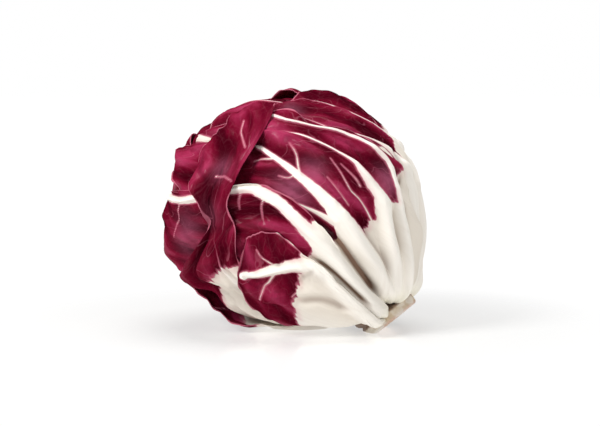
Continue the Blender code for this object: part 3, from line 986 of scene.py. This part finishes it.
class Tree:
    def __init__(self, tree):
        self.tree = tree

    def add(self, kind, settings=None, inputs=None, output=0):
        """One node: its settings first, then its inputs, as values or links. Gives one of its outputs."""
        node = self.tree.nodes.new(kind)
        for name, value in (settings or {}).items():
            setattr(node, name, value)
        for name, value in (inputs or {}).items():
            if isinstance(value, Wire):
                self.tree.links.new(value.socket, node.inputs[name])
            else:
                node.inputs[name].default_value = value
        return Wire(self, node.outputs[output])

    def stretched(self, vector, scale):
        return self.add("ShaderNodeVectorMath", {"operation": "MULTIPLY"}, {0: vector, 1: scale})

    def noise(self, vector, scale=1.0, detail=2.0, roughness=0.5):
        inputs = {"Vector": vector, "Scale": scale, "Detail": detail, "Roughness": roughness}
        return self.add("ShaderNodeTexNoise", {}, inputs, "Fac" if self.shading() else 0)

    def cells(self, vector):
        """How far each point is from the nearest edge between small cells."""
        inputs = {"Vector": vector, "Scale": 1.0}
        return self.add("ShaderNodeTexVoronoi", {"feature": "DISTANCE_TO_EDGE"}, inputs, "Distance")

    def between(self, low, high, value):
        """0 up to `low`, 1 from `high` and smooth between them."""
        inputs = {"Value": value, "From Min": low, "From Max": high}
        return self.add("ShaderNodeMapRange", {"interpolation_type": "SMOOTHSTEP"}, inputs)

    def shading(self):
        return self.tree.bl_idname == "ShaderNodeTree"

    def feed(self, wire, shader, name):
        """Links what varies over a surface to one of a shader's inputs."""
        self.tree.links.new(wire.socket, shader.inputs[name])


def new_group(name, wanted, result_name):
    """A Geometry Nodes tree with named inputs: the tree, a wire from each, and their identifiers."""
    group = bpy.data.node_groups.new(name, "GeometryNodeTree")
    sockets = {}
    for input_name, kind, value in wanted:
        socket = group.interface.new_socket(input_name, in_out="INPUT", socket_type=kind)
        if value is not None:
            socket.default_value = value
        sockets[input_name] = socket.identifier
    group.interface.new_socket(result_name, in_out="OUTPUT", socket_type="NodeSocketGeometry")
    tree = Tree(group)
    given = group.nodes.new("NodeGroupInput")
    return tree, {wire_name: Wire(tree, given.outputs[wire_name]) for wire_name in sockets}, sockets


def finish_group(tree, geometry, finish):
    """Ends a Geometry Nodes tree with plain geometry in its own material."""
    real = tree.add("GeometryNodeRealizeInstances", {}, {"Geometry": geometry})
    dressed = tree.add("GeometryNodeSetMaterial", {}, {"Geometry": real, "Material": finish})
    result = tree.tree.nodes.new("NodeGroupOutput")
    tree.tree.links.new(dressed.socket, result.inputs[0])


# %% [markdown]
# ## Folds and blisters
#
# Between its veins a radicchio blade is puffed up into small blisters, and folds run lengthwise beside
# the ribs. Both follow a rule and the leaf's own directions, so a Geometry Nodes tree makes them: it
# moves both faces of the blade outwards by the same amount, read from a noise stretched along the leaf
# and from the distance to the edges of small cells. Moving them only outwards keeps each leaf clear of
# the one below.

# %% Build the relief tree
FOLD_SCALE = (1 / 30, 1 / 11, 1.0)
FOLD_DETAIL = 0.5
WRINKLE_SCALE = (1 / 12, 1 / 6, 1.0)
WRINKLE_DETAIL = 1.0


def relief_tree():
    wanted = (
        ("Leaf", "NodeSocketGeometry", None),
        ("Fold Height", "NodeSocketFloat", 2.1),
        ("Blister Height", "NodeSocketFloat", 0.6),
        ("Blister Size", "NodeSocketFloat", 10.0),
        ("Finish", "NodeSocketMaterial", None),
    )
    tree, wire, sockets = new_group("leaf relief", wanted, "Leaf")

    def stored(name, kind):
        return tree.add("GeometryNodeInputNamedAttribute", {"data_type": kind}, {"Name": name})

    place = stored("place", "FLOAT_VECTOR")
    folds = tree.noise(tree.stretched(place, FOLD_SCALE), detail=FOLD_DETAIL)
    wrinkles = tree.noise(tree.stretched(place, WRINKLE_SCALE), detail=WRINKLE_DETAIL)
    size = wire["Blister Size"]
    long_place = tree.stretched(place, (0.8, 1.0, 1.0))
    scaling = {0: long_place, "Scale": 1 / size}
    cell_place = tree.add("ShaderNodeVectorMath", {"operation": "SCALE"}, scaling)
    domes = tree.between(0.0, 0.45, tree.cells(cell_place))
    height = wire["Fold Height"] * tree.between(0.38, 0.7, folds)
    height = height + 0.25 * wire["Fold Height"] * tree.between(0.35, 0.7, wrinkles)
    height = height + wire["Blister Height"] * domes
    height = height * stored("relief", "FLOAT") * METRES
    outward = stored("outward", "FLOAT_VECTOR")
    offset = tree.add("ShaderNodeVectorMath", {"operation": "SCALE"}, {0: outward, "Scale": height})
    moved = tree.add("GeometryNodeSetPosition", {}, {"Geometry": wire["Leaf"], "Offset": offset})
    finish_group(tree, moved, wire["Finish"])
    return tree.tree, sockets


RELIEF, RELIEF_SOCKETS = relief_tree()
print("relief tree:", len(RELIEF.nodes), "nodes")

# %% [markdown]
# ## The leaf's finish
#
# One material serves every leaf, because each leaf carries its own marks: how far a point is from the
# white of a rib, from the white base and from the margin. The white parts are where one of these is
# below zero. The edge between white and red isn't sharp or even: red runs down between the ribs in thin
# fingers, and a narrow band there is pink. The red itself changes from dark wine to magenta and carries
# a net of fine paler veins. Light and shade are painted in as well: painted shade in the valleys between
# the white ribs, in the narrow grooves and in the hollows of the folds, a painted highlight on the crests
# of the folds, and pale lilac patches of painted sheen.

# %% Mix colours
def blend(tree, factor, first, second):
    """The first colour where the factor is 0 and the second where it is 1."""
    return tree.add("ShaderNodeMix", {"data_type": "RGBA"}, {0: factor, 6: first, 7: second}, 2)


CREAM = (0.875, 0.832, 0.765, 1.0)
SHADED_CREAM = (0.75, 0.68, 0.60, 1.0)
GREENISH = (0.78, 0.77, 0.52, 1.0)
PAINTED_VALLEY_SHADE = (0.68, 0.60, 0.50, 1.0)
PINK = (0.60, 0.16, 0.24, 1.0)
DARK_WINE = (0.046, 0.0006, 0.0050, 1.0)
WINE = (0.165, 0.0035, 0.020, 1.0)
MAGENTA = (0.37, 0.033, 0.098, 1.0)
VEIN_PINK = (0.56, 0.16, 0.23, 1.0)
SHEEN_LILAC = (0.42, 0.105, 0.19, 1.0)
PAINTED_SHADE_BROWN = (0.17, 0.085, 0.05, 1.0)
PAINTED_SHADE_WINE = (0.022, 0.0005, 0.003, 1.0)


def new_material(name):
    material = bpy.data.materials.new(name)
    material.use_nodes = True
    shader = material.node_tree.nodes["Principled BSDF"]
    return material, Tree(material.node_tree), shader


def mark(tree, name):
    return tree.add("ShaderNodeAttribute", {"attribute_name": name}, {}, "Fac")


# %% Make the leaf's material
VEIN_SPACING = 11.0


def leaf_material():
    material, tree, shader = new_material("radicchio leaf")
    place = tree.add("ShaderNodeAttribute", {"attribute_name": "place"}, {}, "Vector")
    run = tree.add("ShaderNodeSeparateXYZ", {}, {0: place}, 0)
    to_rib = mark(tree, "to_rib")

    # Where the leaf is red: outside the ribs' white and past the white base, with ragged edges
    fingers = tree.noise(tree.stretched(place, (1 / 16, 1 / 3.4, 1.0)), detail=2.0) - 0.5
    ragged = tree.noise(tree.stretched(place, (1 / 3.0, 1 / 1.8, 1.0)), detail=2.0) - 0.5
    beside_rib = mark(tree, "white_gap") + mark(tree, "ragged") * (1.1 * ragged + 0.9 * fingers)
    past_base = mark(tree, "base_gap") + 9.0 * fingers + 2.0 * ragged
    redness = beside_rib.least(past_base * 0.5)
    red = tree.between(-0.1, 0.3, redness)
    pink = red * tree.between(1.0, 0.1, redness)

    # Side veins that leave the rib and bend forwards, pale at the rib and fading away from it
    bend = tree.noise(tree.stretched(place, (1 / 14, 1 / 14, 1.0)), detail=2.0)
    count = (run - 0.9 * to_rib + 26.0 * bend) / VEIN_SPACING
    from_vein = abs(count % 1.0 - 0.5) * VEIN_SPACING
    vein_width = 0.5 - 0.32 * tree.between(2.0, 24.0, to_rib)
    side_veins = tree.between(vein_width, 0.35 * vein_width, from_vein) * tree.between(22.0, 4.0, to_rib)
    side_veins = side_veins * tree.between(0.4, 0.6, bend)
    shift = tree.add("ShaderNodeTexNoise", {}, {"Vector": place, "Scale": 0.35, "Detail": 2.0}, "Color")
    shifting = {0: shift, 1: (3.0, 3.0, 0.0), 2: place}
    shifted = tree.add("ShaderNodeVectorMath", {"operation": "MULTIPLY_ADD"}, shifting)
    net = tree.between(0.05, 0.0, tree.cells(tree.stretched(shifted, (1 / 8.5, 1 / 4.6, 1.0))))
    fine_net = tree.between(0.09, 0.0, tree.cells(tree.stretched(shifted, (1 / 2.4, 1 / 1.8, 1.0))))

    # Wine red, darker and lighter in large soft patches, and with painted shade in the hollows and a painted
    # highlight on the crests of the folds and wrinkles that run along the leaf
    cloudy = tree.noise(tree.stretched(place, (1 / 24, 1 / 16, 1.0)), detail=1.0)
    folds = tree.noise(tree.stretched(place, FOLD_SCALE), detail=FOLD_DETAIL)
    wrinkles = tree.noise(tree.stretched(place, WRINKLE_SCALE), detail=WRINKLE_DETAIL)
    mottled = tree.noise(tree.stretched(place, (1 / 4, 1 / 3.4, 1.0)), detail=4.0, roughness=0.6)
    darker = tree.between(0.375, 0.595, cloudy * 0.4 + folds * 0.4 + wrinkles * 0.2)
    colour = blend(tree, darker, DARK_WINE, WINE)
    lighter = tree.between(0.495, 0.645, cloudy * 0.4 + folds * 0.35 + wrinkles * 0.15 + mottled * 0.1)
    colour = blend(tree, 0.75 * lighter, colour, MAGENTA)
    # Pale lilac patches of painted sheen, where light would glint on the blade
    bloom = mark(tree, "bloom") * (0.5 + 0.5 * tree.between(0.3, 0.6, mottled * 0.4 + cloudy * 0.6))
    colour = blend(tree, 0.8 * bloom, colour, SHEEN_LILAC)
    colour = blend(tree, 0.04 * net + 0.02 * fine_net, colour, VEIN_PINK)
    colour = blend(tree, 0.22 * side_veins, colour, VEIN_PINK)
    colour = blend(tree, 0.65 * pink, colour, PINK)
    rim = tree.between(0.7, 0.15, mark(tree, "margin"))
    colour = blend(tree, 0.7 * rim, colour, VEIN_PINK)

    # The white: cream, with long faint grey-beige streaks, painted shade in the valleys between the ribs
    # and a green tint next to the stem
    streaks = tree.noise(tree.stretched(place, (1 / 45, 1 / 1.3, 1.0)), detail=3.0)
    soft = tree.noise(tree.stretched(place, (1 / 18, 1 / 9, 1.0)), detail=2.0)
    white = blend(tree, 0.5 * tree.between(0.45, 0.75, streaks * 0.5 + soft * 0.5), CREAM, SHADED_CREAM)
    white = blend(tree, 0.55 * mark(tree, "valley"), white, PAINTED_VALLEY_SHADE)
    white = blend(tree, 0.35 * tree.between(24.0, 10.0, mark(tree, "stem_angle")), white, GREENISH)
    blush = tree.between(-2.2, 0.2, redness) * tree.between(0.35, 0.7, soft)
    white = blend(tree, 0.35 * blush, white, PINK)
    colour = blend(tree, red, white, colour)
    # Painted shade in the grooves: brown on the white and near black on the red
    groove = mark(tree, "groove")
    colour = blend(tree, 0.92 * groove, colour, blend(tree, red, PAINTED_SHADE_BROWN, PAINTED_SHADE_WINE))

    tree.feed(colour, shader, "Base Color")
    gloss = 0.44 - 0.11 * red + 0.2 * (mottled - 0.5)
    tree.feed(gloss, shader, "Roughness")
    grooves = tree.noise(tree.stretched(place, (1 / 60, 1 / 1.1, 1.0)), detail=2.0)
    height = red * (mottled * 0.5 + 0.2 * wrinkles - 0.15 * net - 0.1 * fine_net + 0.4 * side_veins)
    height = height + (1.0 - red) * 0.6 * grooves
    bump = tree.add("ShaderNodeBump", {}, {"Strength": 0.55, "Distance": 0.0006, "Height": height})
    tree.feed(bump, shader, "Normal")
    shader.inputs["Specular IOR Level"].default_value = 0.0
    shiny = tree.between(0.50, 0.64, folds * 0.6 + wrinkles * 0.4)
    waxy = red * (0.18 * shiny + 0.12 * mark(tree, "bloom"))
    tree.feed(waxy, shader, "Coat Weight")
    shader.inputs["Coat Roughness"].default_value = 0.26
    shader.inputs["Coat IOR"].default_value = 1.45
    return material


LEAF_FINISH = leaf_material()
print("leaf finish:", len(LEAF_FINISH.node_tree.nodes), "nodes")

# %% [markdown]
# ## Making the leaves
#
# The leaves are made from the innermost outwards. Each finished one is added to the surface that the
# next ones rest on, so that a rib or fold shows through the leaf above it instead of cutting through
# it.

# %% Turn a leaf into a mesh
def mesh_object(name, points, polygons, material):
    mesh = bpy.data.meshes.new(name)
    mesh.from_pydata(((points + HEAD_CENTRE) * METRES).tolist(), [], polygons)
    mesh.polygons.foreach_set("use_smooth", [True] * len(polygons))
    mesh.materials.append(material)
    obj = bpy.data.objects.new(name, mesh)
    bpy.context.scene.collection.objects.link(obj)
    return obj


def store(mesh, name, values, kind="FLOAT"):
    attribute = mesh.attributes.new(name, kind, "POINT")
    field = "value" if kind == "FLOAT" else "vector"
    attribute.data.foreach_set(field, np.ravel(values).astype(np.float32))


def apply_tree(obj, group, sockets, values):
    """Runs a Geometry Nodes tree on an object and keeps its result as a plain mesh."""
    modifier = obj.modifiers.new(group.name, "NODES")
    modifier.node_group = group
    for name, value in values.items():
        modifier[sockets[name]] = value
    graph = bpy.context.evaluated_depsgraph_get()
    evaluated = obj.evaluated_get(graph)
    made = bpy.data.meshes.new_from_object(evaluated, preserve_all_data_layers=True, depsgraph=graph)
    obj.modifiers.remove(modifier)
    old = obj.data
    obj.data = made
    bpy.data.meshes.remove(old)
    made.name = obj.name


def make_leaf(name, leaf, finished, seed):
    directions, level, outer, marks, place = leaf_shape(name, leaf, surface_of(*finished), seed)
    rows, columns = level.shape

    def both_faces(outer_values, inner_values):
        size = outer_values.shape[2:]
        inner_values = inner_values[::COARSER, ::COARSER]
        return np.concatenate([outer_values.reshape(-1, *size), inner_values.reshape(-1, *size)])

    points = both_faces(directions * outer[..., None], directions * level[..., None])
    obj = mesh_object(name + "_fine", points, leaf_polygons(rows, columns), LEAF_FINISH)
    for key, values in marks.items():
        store(obj.data, key, both_faces(values, values))
    store(obj.data, "place", both_faces(place, place), "FLOAT_VECTOR")
    store(obj.data, "outward", both_faces(directions, directions), "FLOAT_VECTOR")
    apply_tree(obj, RELIEF, RELIEF_SOCKETS, {"Finish": LEAF_FINISH})
    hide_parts(name)
    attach(obj, "root")

    # Every other row and column of the outer face is enough for the next leaves to rest on
    skin = (coordinates(obj.data) - HEAD_CENTRE)[: rows * columns].reshape(rows, columns, 3)
    picked_rows = np.unique(np.append(np.arange(0, rows, 2), rows - 1))
    picked_columns = np.unique(np.append(np.arange(0, columns, 2), columns - 1))
    skin = skin[picked_rows][:, picked_columns]
    quads = grid_quads(*skin.shape[:2]) + len(finished[0])
    return np.vstack([finished[0], skin.reshape(-1, 3)]), finished[1] + quads.tolist()


# %% [markdown]
# ## The heart and the cut stem
#
# Inside the leaves is the dense heart. Only its neck shows, between the leaf bases, and the stem that
# was cut through at harvest. The cut face has a ring of small darker dots: the bundles that carried
# water and sap into the leaves.

# %% Read the heart's form
HEART_SPAN = (12.5, 179.0)
HEART_ROWS = 60
HEART_SIDES = 96
SMOOTH_ROUNDS = 4


def heart_grid(rows, sides):
    """Rings round the stem axis, out on the plain heart's surface, with its facets smoothed away."""
    turns = np.arange(sides) * 360.0 / sides
    polar, turn = np.meshgrid(np.linspace(*HEART_SPAN, rows), turns, indexing="ij")
    directions = directions_of({"heading": None}, polar, turn)
    radius = first_hits(plain_surface("heart"), directions)
    for _ in range(SMOOTH_ROUNDS):
        around = np.concatenate([radius[:, -1:], radius, radius[:, :1]], axis=1)
        radius = neighbours_mean(around)[:, 1:-1]
    return directions * radius[..., None]


def rings_polygons(rows, sides):
    """Quads between closed rings, with the first and last ring closed by a fan to one point each."""
    corner = np.arange(rows * sides).reshape(rows, sides)
    a, b = corner[:-1], corner[1:]
    quads = np.stack([a, b, np.roll(b, -1, axis=1), np.roll(a, -1, axis=1)], axis=-1)
    quads = quads.reshape(-1, 4).tolist()
    top, bottom = rows * sides, rows * sides + 1
    fans = [(top, int(corner[0, k]), int(corner[0, (k + 1) % sides])) for k in range(sides)]
    fans += [(bottom, int(corner[-1, (k + 1) % sides]), int(corner[-1, k])) for k in range(sides)]
    return quads + fans


def closed_rings(rings):
    return np.vstack([rings.reshape(-1, 3), rings[0].mean(axis=0), rings[-1].mean(axis=0)])


# %% Make the heart's material
def flesh_material():
    material, tree, shader = new_material("radicchio heart")
    place = tree.add("ShaderNodeTexCoord", {}, {}, "Object")
    soft = tree.noise(place, 60.0, 3.0)
    grain = tree.noise(place, 900.0, 3.0)
    colour = blend(tree, 0.6 * tree.between(0.35, 0.7, soft), CREAM, SHADED_CREAM)
    colour = blend(tree, 0.25 * tree.between(0.4, 0.8, grain), colour, GREENISH)
    tree.feed(colour, shader, "Base Color")
    bump = tree.add("ShaderNodeBump", {}, {"Strength": 0.3, "Distance": 0.0004, "Height": grain})
    tree.feed(bump, shader, "Normal")
    shader.inputs["Roughness"].default_value = 0.5
    return material


# %% Make the heart
heart_points = closed_rings(heart_grid(HEART_ROWS, HEART_SIDES))
heart_polygons = rings_polygons(HEART_ROWS, HEART_SIDES)
heart = mesh_object("heart_fine", heart_points, heart_polygons, flesh_material())
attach(heart, "root")
print("heart:", len(heart_polygons), "faces")

# %% Make all the leaves
finished = (heart_points, heart_polygons)
for seed, (name, shape) in enumerate(LEAVES.items()):
    finished = make_leaf(name, shape, finished, seed)

# %% Shape the cut stem
STEM_END = 70.5
STEM_RADIUS = 11.5
STEM_ROOT = 54.0
STUMP_RADIUS = 14.0
STUMP_START = 65.2
STUMP_ASIDE = 3.4


def stem_rings(sides):
    """Rings from the hollowed middle of the cut face, over its rim and along its side into the heart."""
    profile = [(0.5, -1.2), (3.0, -1.0), (5.5, -0.6), (8.0, -0.3), (10.5, -0.1), (12.3, 0.0),
    (13.3, -0.1)]
    profile += [(13.8, -0.6)] + [(STUMP_RADIUS, -depth) for depth in (1.3, 2.2, 3.2, 4.2)]
    profile += [(13.7, STUMP_START + 0.6 - STEM_END), (13.0, STUMP_START - STEM_END)]
    profile += [(STEM_RADIUS, STUMP_START - 0.8 - STEM_END)]
    depths = np.linspace(STEM_END - STUMP_START + 2.0, STEM_END - STEM_ROOT, 10)
    profile += [(STEM_RADIUS, -depth) for depth in depths]
    turn = np.arange(sides) * 2 * np.pi / sides
    around = np.cos(turn)[:, None] * RIGHT + np.sin(turn)[:, None] * FRONT
    rings = []
    for radius, back in profile:
        uneven_radius = radius * (1.0 + 0.025 * np.sin(5 * turn + 1.0) + 0.015 * np.sin(11 * turn))
        fluted = uneven_radius + 0.12 * np.sin(24 * turn) * smooth_step(0.5, 3.0, -back)
        aside = STUMP_ASIDE * smooth_step(STUMP_START - 3.0, STUMP_START + 1.0, STEM_END + back) * RIGHT
        rings.append((STEM_END + back) * AXIS + fluted[:, None] * around + aside)
    rings = np.array(rings)
    rings[..., 2] = np.maximum(rings[..., 2], -HEAD_CENTRE[2])
    return rings


# %% Make the stem's material
CUT_PINK = (0.72, 0.52, 0.42, 1.0)
CUT_BROWN = (0.38, 0.20, 0.11, 1.0)
STEM_BEIGE = (0.62, 0.49, 0.34, 1.0)


def stem_material():
    material, tree, shader = new_material("cut stem")
    place = tree.add("ShaderNodeAttribute", {"attribute_name": "place"}, {}, "Vector")
    out = tree.add("ShaderNodeSeparateXYZ", {}, {0: place}, 0)
    depth = tree.add("ShaderNodeSeparateXYZ", {}, {0: place}, 1)
    object_place = tree.add("ShaderNodeTexCoord", {}, {}, "Object")
    soft = tree.noise(object_place, 250.0, 4.0)
    grain = tree.noise(object_place, 1400.0, 3.0)
    face = tree.between(1.6, 0.6, depth)
    colour = blend(tree, 0.4 + 0.6 * tree.between(0.4, 0.65, soft), CREAM, STEM_BEIGE)
    cut = blend(tree, tree.between(0.38, 0.66, soft), CREAM, CUT_PINK)
    cut = blend(tree, 0.35 * tree.between(12.2, 13.8, out + 1.6 * (soft - 0.5)), cut, CUT_BROWN)
    colour = blend(tree, face, colour, cut)
    colour = blend(tree, 0.12 * tree.between(0.5, 0.8, grain), colour, CUT_BROWN)
    # Painted shade: past about 4 mm behind the cut face, in among the leaf bases, the stem turns dark brown
    colour = blend(tree, 0.85 * tree.between(4.2, 5.3, depth + soft), colour, PAINTED_SHADE_BROWN)
    tree.feed(colour, shader, "Base Color")
    bump = tree.add("ShaderNodeBump", {}, {"Strength": 0.4, "Distance": 0.0004, "Height": grain + soft})
    tree.feed(bump, shader, "Normal")
    shader.inputs["Roughness"].default_value = 0.6
    return material


# %% Make the stem
STEM_SIDES = 96


def make_stem():
    rings = stem_rings(STEM_SIDES)
    points = closed_rings(rings)
    obj = mesh_object("cut_stem", points, rings_polygons(len(rings), STEM_SIDES), stem_material())
    depth = STEM_END - points @ AXIS
    out = np.linalg.norm(points - (points @ AXIS)[:, None] * AXIS, axis=1)
    store(obj.data, "place", np.stack([out, depth, 0.0 * out], axis=1), "FLOAT_VECTOR")
    return obj


stem = make_stem()
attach(stem, "root")
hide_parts("heart")
print("stem:", len(stem.data.polygons), "faces")

# %% [markdown]
# ## The bundles in the cut face
#
# The bundles are small, nearly alike and set in a ring, so they are copies of one flat bead on the
# points of a circle. Chance sizes and moves each one a little, from a fixed seed.

# %% Build the bundle tree
def bundle_tree():
    wanted = (
        ("Count", "NodeSocketInt", 26),
        ("Ring Radius", "NodeSocketFloat", 7.6),
        ("Bead Radius", "NodeSocketFloat", 0.42),
        ("Seed", "NodeSocketInt", 7),
        ("Finish", "NodeSocketMaterial", None),
    )
    tree, wire, sockets = new_group("stem bundles", wanted, "Beads")
    ring = tree.add(
        "GeometryNodeMeshCircle", {}, {"Vertices": wire["Count"], "Radius": wire["Ring Radius"] * METRES}
    )
    jitter = tree.add(
        "FunctionNodeRandomValue", {"data_type": "FLOAT_VECTOR"},
        {0: (-0.0005, -0.0005, 0.0), 1: (0.0005, 0.0005, 0.0), "Seed": wire["Seed"]}, 0,
    )
    spread = tree.add("GeometryNodeSetPosition", {}, {"Geometry": ring, "Offset": jitter})
    bead = tree.add(
        "GeometryNodeMeshIcoSphere", {}, {"Radius": wire["Bead Radius"] * METRES, "Subdivisions": 2}
    )
    flat = tree.add("GeometryNodeTransform", {}, {"Geometry": bead, "Scale": (1.0, 1.0, 0.35)})
    size = tree.add(
        "FunctionNodeRandomValue", {"data_type": "FLOAT_VECTOR"},
        {0: (0.6, 0.6, 0.8), 1: (1.5, 1.1, 1.0), "Seed": wire["Seed"] + 1}, 0,
    )
    placing = {"Points": spread, "Instance": flat, "Scale": size}
    copies = tree.add("GeometryNodeInstanceOnPoints", {}, placing)
    finish_group(tree, copies, wire["Finish"])
    return tree.tree, sockets


# %% Make the bundles
def bundle_material():
    material, tree, shader = new_material("stem bundles")
    place = tree.add("ShaderNodeTexCoord", {}, {}, "Object")
    grain = tree.noise(place, 1500.0, 2.0)
    colour = blend(tree, grain, (0.40, 0.27, 0.12, 1.0), (0.60, 0.46, 0.26, 1.0))
    tree.feed(colour, shader, "Base Color")
    shader.inputs["Roughness"].default_value = 0.6
    return material


def make_bundles():
    group, sockets = bundle_tree()
    obj = bpy.data.objects.new("stem_bundles", bpy.data.meshes.new("stem_bundles"))
    bpy.context.scene.collection.objects.link(obj)
    apply_tree(obj, group, sockets, {"Finish": bundle_material()})
    points = coordinates(obj.data)
    on_face = points[:, :1] * RIGHT + points[:, 1:2] * FRONT + (points[:, 2:] + STEM_END - 0.1) * AXIS
    placed = (on_face + HEAD_CENTRE) * METRES
    placed[:, 2] = np.maximum(placed[:, 2], 0.0)
    obj.data.vertices.foreach_set("co", placed.reshape(-1))
    obj.data.polygons.foreach_set("use_smooth", [True] * len(obj.data.polygons))
    obj.data.update()
    return obj


bundles = make_bundles()
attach(bundles, "root")
print("bundles:", len(bundles.data.polygons), "faces")

# %% [markdown]
# ## Floor and light
#
# The head lies on a plain white floor in soft light from above and in front. Large lamps give soft
# shadows, and a white surround fills them, so that the white ribs stay bright and the gaps between the
# leaves stay dark.

# %% Lay the floor
FLOOR_HALF = 3.0
FLOOR_WHITE = (0.93, 0.92, 0.90, 1.0)


def make_floor():
    corners = [(-FLOOR_HALF, -FLOOR_HALF, 0), (FLOOR_HALF, -FLOOR_HALF, 0), (FLOOR_HALF, FLOOR_HALF, 0)]
    corners.append((-FLOOR_HALF, FLOOR_HALF, 0))
    mesh = bpy.data.meshes.new("floor")
    mesh.from_pydata(corners, [], [(0, 1, 2, 3)])
    floor = bpy.data.objects.new("floor", mesh)
    bpy.context.scene.collection.objects.link(floor)
    material, tree, shader = new_material("white floor")
    place = tree.add("ShaderNodeTexCoord", {}, {}, "Object")
    away = tree.add("ShaderNodeVectorMath", {"operation": "LENGTH"}, {0: place}, "Value")
    glow = 0.47 + 0.53 * tree.between(0.05, 0.2, away)
    black, white = (0.0, 0.0, 0.0, 1.0), (1.0, 1.0, 1.0, 1.0)
    tree.feed(blend(tree, glow, FLOOR_WHITE, black), shader, "Base Color")
    tree.feed(blend(tree, glow, black, white), shader, "Emission Color")
    shader.inputs["Emission Strength"].default_value = 1.0
    shader.inputs["Roughness"].default_value = 0.22
    shader.inputs["Specular IOR Level"].default_value = 0.3
    mesh.materials.append(material)
    return floor


make_floor()

# %% Light it
def add_lamp(name, place, target, size, power):
    lamp = bpy.data.objects.new(name, bpy.data.lights.new(name, "AREA"))
    lamp.data.shape = "DISK"
    lamp.data.size = size
    lamp.data.energy = power
    lamp.location = place
    lamp.rotation_euler = (Vector(target) - Vector(place)).to_track_quat("-Z", "Y").to_euler()
    bpy.context.scene.collection.objects.link(lamp)


middle = tuple(HEAD_CENTRE * METRES)
add_lamp("softbox on the left", (-0.75, -0.65, 0.75), middle, 0.45, 15.0)
add_lamp("softbox above", (0.1, 0.1, 1.1), middle, 0.8, 9.5)
add_lamp("softbox on the right", (0.9, -0.9, 0.35), middle, 0.6, 4.5)
world = bpy.data.worlds.new("white surround")
bpy.context.scene.world = world
world.use_nodes = True
surround = world.node_tree.nodes["Background"]
surround.inputs["Color"].default_value = (1.0, 1.0, 1.0, 1.0)
seen = Tree(world.node_tree).add("ShaderNodeLightPath", {}, {}, "Is Camera Ray")
world.node_tree.links.new((0.10 + 0.90 * seen).socket, surround.inputs["Strength"])
bpy.context.scene.view_settings.view_transform = "Standard"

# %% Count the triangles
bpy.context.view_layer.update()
meshes = [obj for obj in bpy.data.objects if obj.type == "MESH"]
triangles = {obj.name: sum(len(face.vertices) - 2 for face in obj.data.polygons) for obj in meshes}
fine = sum(count for name, count in triangles.items() if name.endswith("fine"))
print("triangles:", fine, "most", max(triangles.values()))
